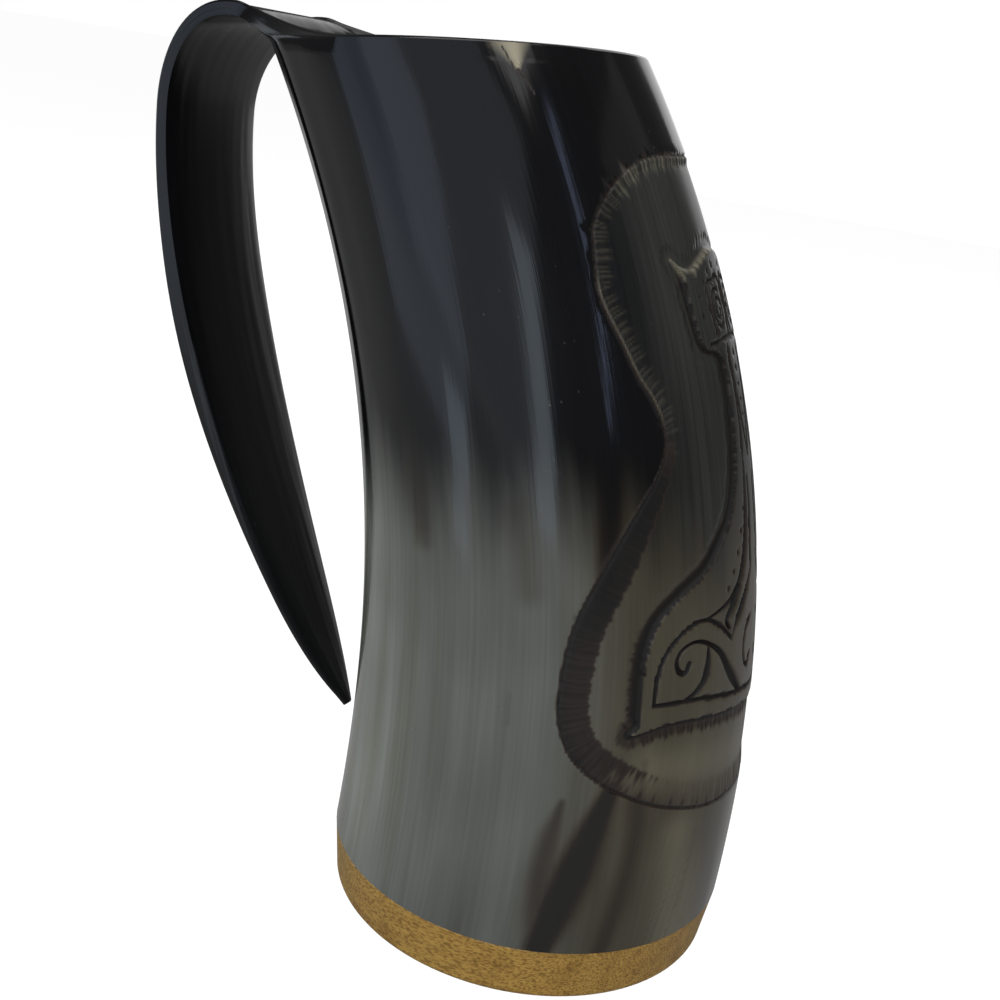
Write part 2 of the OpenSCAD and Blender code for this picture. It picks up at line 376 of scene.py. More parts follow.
STROKES = (
    Stroke(((15.6, 119.9), (0.0, 120.8))),
    Stroke(((10.9, 121.4), (11.7, 128.7), (5.5, 130.1), (1.2, 129.9), (1.2, 121.4))),
    Stroke(((45.3, 60.2), (30.0, 60.2), (9.8, 58.4), (0.0, 57.6)), (0.8,)),
    Stroke(
        ((45.3, 60.2), (44.4, 65.9), (41.3, 70.2), (35.2, 73.5), (28.6, 74.4), (22.6, 72.7), (16.7, 69.6)),
    ),
    Stroke(
        ((34.6, 67.0), (35.8, 65.5), (38.0, 66.0), (38.8, 67.8), (37.2, 69.7), (33.0, 70.8), (28.4, 70.3),
         (22.2, 67.8), (16.9, 63.4), (10.2, 58.6)),
        (1.2, 0.9, 0.7, 0.8, 1.5, 2.0, 1.4), 0.6,
    ),
    Stroke(
        ((27.6, 69.6), (27.3, 66.8), (28.2, 63.8), (31.5, 61.6), (36.0, 60.4)),
        (0.6, 1.5, 1.7, 1.2, 0.5), 0.6,
    ),
    Stroke(
        ((5.6, 100.5), (6.4, 94.0), (7.5, 88.0), (9.0, 83.5), (12.2, 79.6), (17.5, 76.8), (23.7, 75.3),
         (29.0, 74.4)),
        (0.6, 1.0, 1.4, 1.7, 1.9, 1.6, 0.9, 0.5), 0.65,
    ),
    Stroke(((3.6, 80.6), (8.0, 76.6), (12.6, 73.4), (16.7, 69.6)), (0.9, 1.5, 1.8, 0.6), 0.65),
    Stroke(((12.2, 78.2), (16.4, 75.4), (19.4, 73.2), (17.6, 71.4)), (1.4, 2.0, 1.6, 0.6), 0.65),
    Stroke(
        ((4.4, 71.4), (7.4, 69.8), (8.9, 66.6), (7.4, 63.4), (4.6, 62.6), (3.4, 64.2)),
        (1.1, 0.8, 0.7, 0.8, 1.0),
    ),
    Stroke(((5.6, 118.6), (4.4, 112.0), (2.4, 106.0), (0.0, 100.6)), (0.8, 0.7, 0.6, 0.6)),
    Stroke(((5.6, 118.6), (5.2, 110.0), (5.4, 104.0), (5.6, 100.5)), (0.6,)),
    Stroke(((3.2, 97.0), (3.4, 90.0), (4.0, 84.5), (3.6, 80.6)), (0.5, 0.8, 0.8, 0.9)),
)
SPIRAL_MIDDLE = (6.3, 125.3)
SPIRAL_REACH = (4.4, 3.5)
SPIRAL_TURNS = 1.8
SPIRAL_START = 0.5
SPIRAL_END = 0.28
SPIRAL_STEPS = 40
SPIRAL_WIDTHS = (0.55,)
SPIRAL_DEPTH = 0.42
DOTS = (
    (4.2, 132.4), (8.9, 131.4), (13.0, 129.7), (16.8, 127.6), (17.0, 124.4), (8.6, 91.9), (10.9, 88.3),
    (13.4, 84.6), (16.0, 81.5), (19.0, 79.0), (0.0, 117.8), (0.0, 115.2), (0.0, 112.6), (0.0, 110.0),
    (0.0, 107.4),
)
MIRRORED = np.array([-1.0, 1.0])
DARK_STAINS = (
    Stroke(
        ((55.0, 45.0), (58.0, 38.0), (61.0, 30.0), (64.0, 22.0), (67.0, 12.0)),
        (6.0, 11.0, 15.0, 14.0, 10.0), 0.95,
    ),
    Stroke(
        ((67.5, 42.0), (69.5, 34.0), (70.0, 26.0), (68.0, 17.0), (66.0, 12.0)),
        (3.0, 9.0, 12.0, 13.0, 11.0), 0.52,
    ),
    Stroke(((47.0, 42.0), (46.5, 36.0), (47.5, 24.0), (50.0, 12.0)), (11.0, 9.0, 11.0, 9.0), 0.55),
    Stroke(((46.0, 49.5), (46.0, 44.5)), (3.4, 4.2), 0.5),
    Stroke(((84.0, 60.0), (84.0, 55.0)), (3.4, 3.4), 0.25),
    Stroke(((88.0, 79.0), (88.0, 69.0)), (1.6, 1.2), 0.3),
    Stroke(((82.0, 92.0), (79.0, 79.0)), (12.0, 11.0), 0.3),
    Stroke(((25.0, 33.0), (27.0, 18.0)), (6.0, 5.0), 0.3),
    Stroke(((38.0, 44.0), (32.0, 38.0), (29.0, 30.0)), (16.0, 16.0, 8.0), 0.22),
    Stroke(((30.0, 43.0), (12.0, 42.0)), (10.0, 10.0), 0.2),
    Stroke(((113.0, 108.0), (112.0, 98.0), (111.0, 90.0), (110.0, 84.0)), (18.0, 16.0, 13.0, 9.0), 0.5),
    Stroke(((57.0, 102.0), (58.0, 92.0), (60.0, 80.0)), (10.0, 10.0, 6.0), 0.75),
    Stroke(((-58.0, 40.0), (-62.0, 26.0), (-60.0, 12.0)), (2.0, 7.0, 6.0), 0.8),
    Stroke(((-84.0, 36.0), (-82.0, 12.0)), (3.0, 5.0), 0.6),
    Stroke(((-30.0, 34.0), (-33.0, 12.0)), (2.5, 4.0), 0.5),
    Stroke(((178.0, 62.0), (176.0, 30.0), (180.0, 12.0)), (3.0, 7.0, 5.0), 0.7),
)
PALE_STAINS = (
    Stroke(((55.5, 165.4), (56.5, 161.0)), (9.5, 0.6), 1.0),
    Stroke(((32.0, 34.0), (31.0, 28.0), (28.0, 20.0), (26.0, 12.0)), (16.0, 20.0, 24.0, 24.0), 0.25),
    Stroke(((44.0, 48.0), (26.0, 47.0), (6.0, 46.0)), (14.0, 16.0, 16.0), 0.2),
)
CRACKS = (
    Stroke(((56.6, 161.2), (54.4, 157.6)), (0.7, 0.3), 1.0),
    Stroke(((58.6, 164.4), (57.0, 159.6)), (0.5, 0.3), 0.7),
)


def smooth_through(points: Sequence[Pair], steps: int = 8) -> Array:
    """Points of a smooth curve that runs through the given points."""
    p = np.array(points, float)
    if len(p) < 3:
        return between(p[0], p[-1], np.linspace(0, 1, steps + 1)[:, None])
    ends = np.vstack([2 * p[0] - p[1], p, 2 * p[-1] - p[-2]])
    out = []
    for a, b, c, d in zip(ends, ends[1:], ends[2:], ends[3:]):
        for t in np.arange(steps) / steps:
            bend, twist = 2 * a - 5 * b + 4 * c - d, 3 * b - a - 3 * c + d
            out.append(0.5 * (2 * b + (c - a) * t + bend * t**2 + twist * t**3))
    return np.array([*out, p[-1]])


def nearest_on_line(points: Array, line: Array) -> tuple[Array, Array]:
    """Distance from each point to a line of straight pieces, and how far along the line it is.

    Args:
        points: The points to measure from, one row each.
        line: The line's corners, one row each.

    Returns:
        The distances, and the lengths along the line at which they are met.
    """
    start, step = line[:-1], np.diff(line, axis=0)
    length = np.linalg.norm(step, axis=1)
    before = np.concatenate([[0.0], np.cumsum(length)[:-1]])
    best = np.full(len(points), np.inf)
    along = np.zeros(len(points))
    for a, d, size, done in zip(start, step, length, before):
        if size < 1e-9:
            continue
        share = np.clip((points - a) @ d / size**2, 0, 1)
        gap = np.linalg.norm(points - a - share[:, None] * d, axis=1)
        closer = gap < best
        best[closer] = gap[closer]
        along[closer] = (done + share * size)[closer]
    return best, along


def inside_outline(points: Array, outline: Array) -> Array:
    """Whether each flat point lies inside a closed outline."""
    x, y = points[:, 0], points[:, 1]
    inside = np.zeros(len(points), bool)
    for (x1, y1), (x2, y2) in zip(outline, np.roll(outline, -1, axis=0)):
        if y1 == y2:
            continue
        crosses = (y1 > y) != (y2 > y)
        inside ^= crosses & (x < (x2 - x1) * (y - y1) / (y2 - y1) + x1)
    return inside


@dataclass(frozen=True)
class Line:
    """A stroke laid on the horn: its corners in space, its widths, and its depth or strength."""

    corners: Array
    widths: tuple[float, ...]
    amount: float

    def measure(self, points: Array, margin: float) -> tuple[Array, Array, Array]:
        """Measures the points that are near the line.

        Args:
            points: The points, one row each.
            margin: How far round the line's box a point counts as near.

        Returns:
            Whether each point is near, and for the near ones the distance and the line's width.
        """
        low, high = self.corners.min(axis=0) - margin, self.corners.max(axis=0) + margin
        near = ((points > low) & (points < high)).all(axis=1)
        gap, along = nearest_on_line(points[near], self.corners)
        total = np.linalg.norm(np.diff(self.corners, axis=0), axis=1).sum()
        return near, gap, np.interp(along / total, np.linspace(0, 1, len(self.widths)), self.widths)


@dataclass(frozen=True)
class Bands:
    """How each point lies to the border and the hammer, and the chisel marks along both."""

    out: Array
    level: Array
    in_border: Array
    ground: Array
    border_gap: Array
    hammer_gap: Array
    border_ticks: Array
    hammer_ticks: Array
    ragged: Array
    run: Array


@dataclass(frozen=True)
class Cut:
    """What the carving does at each point: its depth, its colours, and where the face is sanded."""

    depth: Array
    # Burnt carving, and painted shadow beside the hammer's walls.
    burn_and_shade: Array
    pale: Array
    sanded: Array
    along: Array


@dataclass
class Carving:
    """A hammer left standing at the horn's own surface, in a lowered ground with a chiselled border.

    The pairs named levels are heights on the horn between which something fades in.
    """

    horn: HornShape = field(default_factory=HornShape)
    middle_turn: float = 175.0
    half_turn: float = 84.0
    ground_depth: float = 0.5
    outline_depth: float = 0.85
    border_band: float = 6.0
    border_band_top: float = 2.4
    hammer_band: float = 3.4
    hammer_pull: float = 0.5
    border_pull: float = 0.3
    lip_depth: float = 0.3
    lip_reach: float = 0.28
    wall_reach: float = 0.35
    tick_pitch: float = 1.15
    tick_depth: float = 0.14
    line_spread: float = 1.25
    dot_radius: float = 0.42
    dot_depth: float = 0.35
    tick_length: float = 3.6
    tick_pale: float = 0.1
    tick_pale_top: float = 0.34
    tick_wander: tuple[Pair, Pair] = ((0.35, 0.9), (0.2, 2.3))
    rag: tuple[tuple[float, float, float], ...] = ((0.6, 1.7, 0.0), (0.5, 4.1, 1.0))
    scorch_least: float = 0.5
    scorch_ticks: float = 0.22
    scorch_rim: float = 0.2
    scorch_top: float = 0.3
    bare_most: float = 0.8
    bare_patches: float = 0.45
    lip_burn: Pair = (0.35, 1.0)
    # Painted shadow along the hammer's walls: its reach, how much wider it is at the foot and beside the
    # lower sides, and how much of it is left off at the top edge.
    edge_shadow_reach: float = 0.75
    edge_shadow_foot: float = 0.2
    edge_shadow_beside: float = 0.95
    edge_shadow_crest: float = 0.85
    groove_gap: float = 0.3
    groove_reach: float = 0.2
    groove_pale: float = 0.3
    # Painted highlight along the hammer's top edge: its reach and its strength.
    crest_highlight_reach: float = 0.3
    crest_highlight: float = 0.5
    char_levels: Pair = (110.0, 96.0)
    band_levels: Pair = (106.0, 80.0)
    foot_levels: Pair = (78.0, 70.0)
    scorch_levels: Pair = (66.0, 78.0)
    bare_levels: Pair = (49.5, 45.5)
    shadow_beside_levels: tuple[Pair, Pair] = ((94.0, 86.0), (56.5, 58.5))
    groove_levels: tuple[Pair, Pair] = ((133.0, 128.0), (106.0, 111.0))
    crest_levels: Pair = (129.5, 131.5)
    corner_levels: Pair = (138.0, 142.0)
    corner_angles: Pair = (42.0, 32.0)

    def on_horn(self, flat: Array) -> Array:
        """Points on the horn's outer skin from angles out from the middle and heights."""
        share = (flat[:, 1] - self.horn.seam_height) / self.horn.length
        return self.horn.outer(share, self.middle_turn + flat[:, 0])

    def outline(self, *curves: tuple[Pair, ...]) -> Array:
        """Closed outline from the curves of its one half, from the middle's top to its bottom."""
        half = np.vstack([smooth_through(curve) for curve in curves])
        return np.vstack([half, half[-2:0:-1] * MIRRORED])

    def border(self) -> Array:
        """Closed outline of the carved panel."""
        return self.outline(BORDER)

    def hammer(self) -> Array:
        """Closed outline of the hammer."""
        return self.outline(HAMMER_TOP, HAMMER_CAP_SIDE, HAMMER_SMOOTH_SIDE, HAMMER_BOTTOM)

    def lines(self, strokes: Sequence[Stroke]) -> list[Line]:
        """The strokes laid on the horn."""
        return [Line(self.on_horn(smooth_through(s.points)), s.widths, s.amount) for s in strokes]

    def carved_lines(self) -> list[Line]:
        """Every carved line, on both sides of the ornament's middle."""
        angle = np.linspace(0, SPIRAL_TURNS * 2 * math.pi, SPIRAL_STEPS)
        reach = np.linspace(1, SPIRAL_END, SPIRAL_STEPS)[:, None] * np.array(SPIRAL_REACH)
        way = np.stack([np.sin(angle - SPIRAL_START), np.cos(angle - SPIRAL_START)], axis=-1)
        flats = [(smooth_through(s.points), s.widths, s.amount) for s in STROKES]
        flats.append((np.array(SPIRAL_MIDDLE) + reach * way, SPIRAL_WIDTHS, SPIRAL_DEPTH))
        return [
            Line(self.on_horn(flat * side), widths, depth)
            for flat, widths, depth in flats
            for side in (np.ones(2), MIRRORED)
        ]

    def dots(self) -> Array:
        """Middles of the small round punch marks."""
        marks = np.array(DOTS)
        return self.on_horn(np.unique(np.vstack([marks, marks * MIRRORED]), axis=0))

    def closed_line(self, outline: Array) -> Array:
        """An outline on the horn, closed back to its start."""
        return self.on_horn(np.vstack([outline, outline[:1]]))

    def gap_to(self, lines: Sequence[Line], points: Array, reach: float) -> Array:
        """Distance from each point to the nearest line's edge, where it is within the reach."""
        gap = np.full(len(points), np.inf)
        for line in lines:
            near, found, _ = line.measure(points, max(line.widths) + reach)
            gap[near] = np.minimum(gap[near], found - max(line.widths) / 2)
        return gap

    def detail_gap(self, points: Array, reach: float) -> Array:
        """Distance from each point to the nearest fine line or dot."""
        gap = self.gap_to(self.carved_lines(), points, reach)
        for mark in self.dots():
            gap = np.minimum(gap, np.linalg.norm(points - mark, axis=1) - self.dot_radius)
        return gap

    def ticks(self, along: Array, seed: float) -> Array:
        """Uneven chisel marks across a band, from 0 to 1."""
        parts = [(size, rate, seed * (n + 1)) for n, (size, rate) in enumerate(self.tick_wander)]
        return 0.5 + 0.5 * np.cos(2 * math.pi * (along / self.tick_pitch + waves(along, *parts)))

    def bands(self, points: Array, flat: Array) -> Bands:
        """Measures the points against the border and the hammer."""
        border, hammer = self.border(), self.hammer()
        in_border = inside_outline(flat, border)
        border_gap, border_along = nearest_on_line(points, self.closed_line(border))
        hammer_gap, hammer_along = nearest_on_line(points, self.closed_line(hammer))
        border_near = border_gap / self.border_band < hammer_gap / self.hammer_band
        return Bands(
            out=np.abs(flat[:, 0]),
            level=flat[:, 1],
            in_border=in_border,
            ground=in_border & ~inside_outline(flat, hammer),
            border_gap=border_gap,
            hammer_gap=hammer_gap,
            border_ticks=self.ticks(border_along, 1.0),
            hammer_ticks=self.ticks(hammer_along, 4.0),
            ragged=waves(border_along, *self.rag),
            run=np.where(border_near, border_along, hammer_along),
        )

    def shares(self, bands: Bands) -> tuple[Array, Array, Array]:
        """Width of the border's band, and how near its line and the hammer's each point is."""
        wide = between(self.border_band_top, self.border_band, fade(bands.level, self.band_levels))
        border_share = nearness(bands.border_gap, wide + bands.ragged * self.border_pull)
        hammer_share = nearness(bands.hammer_gap, self.hammer_band + bands.ragged * self.hammer_pull)
        return wide, border_share, hammer_share

    def relief(self, bands: Bands) -> Array:
        """Depth of the ground, its slopes and its chisel marks."""
        wide, border_share, hammer_share = self.shares(bands)
        foot = fade(bands.level, self.foot_levels)
        lip = self.lip_depth * hump(bands.border_gap, self.lip_reach)
        depth = self.ground_depth * ease(bands.border_gap / wide) + lip
        depth += self.tick_depth * bands.border_ticks * ease(border_share * 3)
        depth += (self.outline_depth - self.ground_depth) * ease(hammer_share * 1.6)
        depth += self.tick_depth / 2 * bands.hammer_ticks * ease(hammer_share * 2) * foot
        depth *= ease(bands.hammer_gap / self.wall_reach)
        return np.where(bands.ground, depth, np.where(bands.in_border, 0.0, lip))

    def scorch_and_shade(self, bands: Bands) -> Array:
        """How burnt the ground is along the border, round the hammer and beside its foot, with a painted
        shadow in the ground along the hammer's walls.
        """
        _, border_share, hammer_share = self.shares(bands)
        level, ragged = bands.level, bands.ragged
        low, foot = fade(level, self.char_levels), fade(level, self.foot_levels)
        darkening = self.scorch_least + self.scorch_ticks * bands.border_ticks
        darkening += self.scorch_rim * ease(border_share * 2 - 1)
        darkening += self.scorch_top * fade(level, self.scorch_levels)
        bare = fade(level - 1.5 * ragged, self.bare_levels)
        patches = self.bare_patches * ease(border_share * 3 - 1.6) * ease(ragged)
        char = ease(border_share * 5) * np.minimum(darkening, 1.0) * low
        char *= 1 - bare * (self.bare_most - patches)
        # Painted shadow: a dark band in the ground along the hammer's walls, wider at its foot and beside its
        # lower sides, and mostly left off along its top edge.
        beside = fade(level, self.shadow_beside_levels[0]) * fade(level, self.shadow_beside_levels[1])
        reach = self.edge_shadow_reach + self.edge_shadow_foot * foot + self.edge_shadow_beside * beside
        edge = ease(1.6 - bands.hammer_gap / reach) * (1 - self.edge_shadow_crest * fade(level, self.crest_levels))
        rough = ease(hammer_share * 2.4) * (0.3 + 0.4 * bands.hammer_ticks) * foot
        burn_and_shade = np.where(bands.ground, np.maximum(char, np.maximum(edge, rough)), 0.0)
        lip = hump(bands.border_gap, self.lip_reach)
        return np.maximum(burn_and_shade, lip * between(*self.lip_burn, np.maximum(low, bare)))

    def paling(self, bands: Bands) -> Array:
        """How pale the chisel marks and the groove in the waist are, with a painted highlight as a pale line
        along the hammer's top edge.
        """
        level = bands.level
        corner = fade(bands.out, self.corner_angles) * fade(level, self.corner_levels)
        tick_share = nearness(bands.border_gap, self.tick_length + 0.8 * bands.ragged)
        pale = bands.border_ticks**2 * ease(tick_share * 2) * bands.in_border
        pale *= (1 - fade(level, self.char_levels)) * between(self.tick_pale, self.tick_pale_top, corner)
        groove = hump(bands.border_gap - self.groove_gap, self.groove_reach) * bands.in_border
        groove *= fade(level, self.groove_levels[0]) * fade(level, self.groove_levels[1])
        # Painted highlight: a thin pale line along the hammer's top edge, where the painted shadow beside its
        # walls is left off.
        crest = fade(level, self.crest_levels) * hump(bands.hammer_gap, self.crest_highlight_reach)
        return np.maximum(pale, np.maximum(self.groove_pale * groove, self.crest_highlight * crest))

    def cut(self, points: Array, flat: Array) -> Cut:
        """How deep the carving is at each point, and how it is coloured.

        Args:
            points: Points of the uncut horn, one row each.
            flat: The same points as angles out from the middle and heights.

        Returns:
            The depth and the colour values.
        """
        bands = self.bands(points, flat)
        depth, burn_and_shade = self.relief(bands), self.scorch_and_shade(bands)
        for line in self.carved_lines():
            near, gap, width = line.measure(points, 2.0)
            width *= self.line_spread
            share = nearness(gap, width / 2)
            deep = line.amount * np.minimum(share * 1.4, 1.0) * np.minimum(width / 0.7, 1.3)
            depth[near] = np.maximum(depth[near], deep)
            burn_and_shade[near] = np.maximum(burn_and_shade[near], ease(share * 2.2))
        for mark in self.dots():
            share = nearness(np.linalg.norm(points - mark, axis=1), self.dot_radius)
            depth = np.maximum(depth, self.dot_depth * ease(share * 1.5))
            burn_and_shade = np.maximum(burn_and_shade, ease(share * 2))
        pale = np.clip(self.paling(bands), 0, 1)
        return Cut(depth, np.clip(burn_and_shade, 0, 1), pale, bands.in_border.astype(float), bands.run)

    def stain(self, points: Array, stains: Sequence[Stroke]) -> Array:
        """How strong the stains are at each point, from 0 to 1."""
        value = np.zeros(len(points))
        for line in self.lines(stains):
            near, gap, width = line.measure(points, max(line.widths))
            value[near] = np.maximum(value[near], line.amount * ease(1 - 2 * gap / width))
        return value


@dataclass
class HornCup:
    """The horn's wall and handle, grown ring by ring from a circle and then carved."""

    horn: HornShape = field(default_factory=HornShape)
    handle: HandleShape = field(default_factory=HandleShape)
    carving: Carving = field(default_factory=Carving)
    columns: int = 99
    body_rows: int = 58
    inner_rows: int = 24
    fold_rows: int = 22
    bend_rows: int = 26
    grip_rows: int = 52
    edge_steps: int = 4
    crown: float = 0.5
    fine_steps: tuple[float, ...] = (3.0, 1.6, 0.45, 0.09)
    band_steps: int = 3
    stain_steps: int = 2
    merge_gap: float = 1e-7
    crease_rows: int = 6
    crease_reach: float = 2.2
    crease_fade: float = 9.0
    share_rounds: int = 12
    grain_radius: float = 36.0
    inner_grain_radius: float = 33.0
    smooth_angle: float = math.radians(62)

    @property
    def column_step(self) -> float:
        """Angle between two columns of the mesh, in degrees."""
        return 360 / self.columns

    @property
    def handle_columns(self) -> int:
        """How many columns carry on past the rim."""
        return round(2 * self.handle.edge_angle / self.column_step) + 1

    def turns(self, count: int) -> Array:
        """Angles of the first columns, from the handle's near edge on."""
        return -self.handle.edge_angle + self.column_step * np.arange(count)

    def strip_steps(self) -> list[tuple[int, float]]:
        """Curve and share of each of the handle's rows."""
        legs = (self.fold_rows, self.bend_rows, self.grip_rows)
        return [(leg, (r + 1) / rows) for leg, rows in enumerate(legs) for r in range(rows)]

    def rings(self, sheet: Sheet) -> dict[int, Array]:
        """Points of every ring of one skin, by row number. The rim is row body_rows on both."""
        everywhere = self.turns(self.columns)
        strip = self.turns(self.handle_columns)
        if sheet is Sheet.OUTER:
            first, skin, shares = 0, self.horn.outer, np.arange(self.body_rows + 1) / self.body_rows
        else:
            low = self.horn.socket_depth / self.horn.length
            above = np.arange(1, self.inner_rows) / (self.inner_rows - 1)
            first, skin = self.body_rows - self.inner_rows, self.horn.inner
            shares = [0.0, low, *between(low, 1, above)]
        rings = {first + r: skin(np.full(self.columns, t), everywhere) for r, t in enumerate(shares)}
        for r, (leg, t) in enumerate(self.strip_steps()):
            rings[self.body_rows + 1 + r] = self.handle.section(leg, t, strip, sheet is Sheet.INNER)
        self.ease_crease(rings)
        return rings

    def ease_crease(self, rings: dict[int, Array]) -> None:
        """Rounds the wall into the strip where the strip folds away beside the handle.

        Args:
            rings: Points of every ring of one skin, which are changed.
        """
        reach = range(self.body_rows - self.crease_rows, self.body_rows + self.fold_rows + 1)
        rows = [r for r in sorted(rings) if r in reach]
        place = np.stack([rings[r][: self.handle_columns] for r in rows])
        steps = np.linalg.norm(np.diff(place, axis=0), axis=2)
        run = np.vstack([np.zeros(self.handle_columns), np.cumsum(steps, axis=0)])
        weight = np.gradient(run, axis=0)
        rim = run[rows.index(self.body_rows)]
        turn = np.abs(self.turns(self.handle_columns))
        share = ease((self.handle.edge_angle - turn) / self.crease_fade)
        share = share * ease((turn - self.horn.ridge_angle + self.crease_fade) / self.crease_fade)
        for index, row in enumerate(rows):
            near = np.exp(-(((run - run[index]) / self.crease_reach) ** 2) / 2) * weight
            mean = (near[:, :, None] * place).sum(axis=0) / near.sum(axis=0)[:, None]
            close = np.abs(run[index] - rim) / (4 * self.crease_reach)
            amount = (share * ease(1.5 - 1.5 * close))[:, None]
            rings[row][: self.handle_columns] = between(place[index], mean, amount)

    def crown_way(self, row: int) -> Array:
        """Direction in which the cut edge is rounded out at a row."""
        tilt, slope = self.horn.rim_tilt, self.handle.tip_slope
        rim = np.array([-math.sin(tilt), 0.0, math.cos(tilt)])
        steps = self.strip_steps()
        if row == self.body_rows:
            return rim
        if row == self.body_rows + len(steps):
            return np.array([math.cos(slope), 0.0, -math.sin(slope)])
        leg, t = steps[row - self.body_rows - 1]
        if leg == 0:
            return between(rim, np.array([0.0, 0.0, 1.0]), t)
        way = self.handle.through(leg, t)
        return np.array([way[0], 0.0, way[1]]) * (1 - self.handle.sizes(leg, t)[3])

    @staticmethod
    def marks(bm: bmesh.types.BMesh) -> dict[Attribute, bmesh.types.BMLayerItem]:
        """The mesh's own layers that say which place of the horn each point is."""
        whole = bm.verts.layers.int
        marks = {name: whole[name] for name in (Attribute.SHEET, Attribute.ROW, Attribute.COLUMN)}
        return marks | {Attribute.TURN: bm.verts.layers.float[Attribute.TURN]}

    def change_selected(self, mesh: Mesh, change: Callable[[Vert, dict], None]) -> None:
        """Makes one change to every selected point in edit mode."""
        bm = bmesh.from_edit_mesh(mesh)
        marks = self.marks(bm)
        for vert in bm.verts:
            if vert.select:
                change(vert, marks)
        bmesh.update_edit_mesh(mesh, loop_triangles=False)

    def select_edges(self, mesh: Mesh, wanted: Callable[[bmesh.types.BMEdge, list], bool]) -> None:
        """Selects the wanted edges alone.

        Args:
            mesh: The mesh, in edit mode.
            wanted: Judges an edge by the skin, the row and the column of both its ends.
        """
        bpy.ops.mesh.select_all(action="DESELECT")
        bm = bmesh.from_edit_mesh(mesh)
        marks = list(self.marks(bm).values())[:3]
        for edge in bm.edges:
            if wanted(edge, [[vert[mark] for mark in marks] for vert in edge.verts]):
                edge.select_set(True)
        bmesh.update_edit_mesh(mesh, loop_triangles=False)

    def place_ring(self, mesh: Mesh, row: int, sheet: Sheet, ring: Array) -> None:
        """Moves the selected ring to its place and marks its points with the row."""

        def place(vert: Vert, marks: dict) -> None:
            """Puts a point at its column of the ring."""
            vert[marks[Attribute.ROW]] = row
            vert[marks[Attribute.SHEET]] = int(sheet)
            vert.co = Vector(ring[vert[marks[Attribute.COLUMN]]]) * MM

        self.change_selected(mesh, place)

    def start_ring(self, mesh: Mesh) -> None:
        """Adds a circle in edit mode and numbers its points."""

        def number(vert: Vert, marks: dict) -> None:
            """Gives a point the column that stands at its angle."""
            turn = math.degrees(math.atan2(vert.co.y, -vert.co.x))
            column = round((turn + self.handle.edge_angle) / self.column_step) % self.columns
            vert[marks[Attribute.COLUMN]] = column
            vert[marks[Attribute.TURN]] = -self.handle.edge_angle + column * self.column_step

        bpy.ops.mesh.select_all(action="DESELECT")
        bpy.ops.mesh.primitive_circle_add(vertices=self.columns, radius=self.horn.radii[0] * MM)
        self.change_selected(mesh, number)

    def grow_skin(self, mesh: Mesh, sheet: Sheet) -> None:
        """Grows one skin: up the horn as full rings, and on along the handle as a strip."""
        rim, last = [sheet, self.body_rows], self.handle_columns
        rings = self.rings(sheet)
        first = min(rings)
        self.start_ring(mesh)
        for row in sorted(rings):
            if row == self.body_rows + 1:
                self.select_edges(mesh, lambda _, ends: all(e[:2] == rim and e[2] < last for e in ends))
            if row > first:
                bpy.ops.mesh.extrude_edges_move()
            self.place_ring(mesh, row, sheet, rings[row])

    def round_cut_edge(self, mesh: Mesh) -> None:
        """Carries the outer skin's free edge over to the inner skin in a rounded band."""
        outer, inner = self.rings(Sheet.OUTER), self.rings(Sheet.INNER)
        self.select_edges(
            mesh,
            lambda edge, ends: edge.is_boundary
            and all(e[0] == Sheet.OUTER and e[1] >= self.body_rows for e in ends),
        )
        for step in range(1, self.edge_steps + 1):
            angle = math.pi * step / self.edge_steps
            share, rise = (1 - math.cos(angle)) / 2, math.sin(angle) * self.crown

            def round_over(vert: Vert, marks: dict, share: float = share, rise: float = rise) -> None:
                """Puts a point between the two skins."""
                row, column = vert[marks[Attribute.ROW]], vert[marks[Attribute.COLUMN]]
                vert[marks[Attribute.SHEET]] = int(Sheet.EDGE)
                place = between(outer[row][column], inner[row][column], share)
                vert.co = Vector(place + rise * self.crown_way(row)) * MM

            bpy.ops.mesh.extrude_edges_move()
            self.change_selected(mesh, round_over)

    def close_foot(self, mesh: Mesh) -> None:
        """Bridges the two skins at the seam with the base."""
        lowest = {Sheet.OUTER: 0, Sheet.INNER: self.body_rows - self.inner_rows}
        self.select_edges(mesh, lambda _, ends: all(e[1] == lowest.get(e[0]) for e in ends))
        bpy.ops.mesh.bridge_edge_loops()

    def skin_values(self, mesh: Mesh) -> tuple[Array, Array, Array, Array]:
        """Places, turns, rows and skins of all points, as arrays."""
        count = len(mesh.vertices)
        place = np.empty(count * 3)
        mesh.vertices.foreach_get("co", place)
        values = []
        for name in (Attribute.TURN, Attribute.ROW, Attribute.SHEET):
            values.append(np.empty(count, np.float32 if name is Attribute.TURN else np.int32))
            mesh.attributes[name].data.foreach_get("value", values[-1])
        return place.reshape(-1, 3) / MM, *values

    def shares_on_body(self, places: Array) -> Array:
        """Share of the way up the horn of points on its outer skin away from the handle."""
        share = (places[:, 2] - self.horn.seam_height) / self.horn.length
        for _ in range(self.share_rounds):
            tilt = self.horn.rim_tilt * share
            off = (places[:, 0] - bezier(self.horn.offsets, share)) / np.cos(tilt)
            share = (places[:, 2] - self.horn.seam_height - off * np.sin(tilt)) / self.horn.length
        return share

    def panel(self, mesh: Mesh, last_row: int) -> tuple[Array, Array, Array, Array]:
        """The points of the outer skin that the carving may reach.

        Args:
            mesh: The horn's mesh.
            last_row: The highest row of the horn's own that counts.

        Returns:
            Their numbers, places, shares up the horn, and angles out from the middle with heights.
        """
        places, turn, row, sheet = self.skin_values(mesh)
        out = turn - self.carving.middle_turn
        wanted = (sheet == Sheet.OUTER) & (row <= last_row) & (np.abs(out) < self.carving.half_turn)
        index = np.nonzero(wanted)[0]
        share = self.shares_on_body(places[index])
        flat = np.stack([out[index], self.horn.seam_height + self.horn.length * share], -1)
        return index, places[index], share, flat

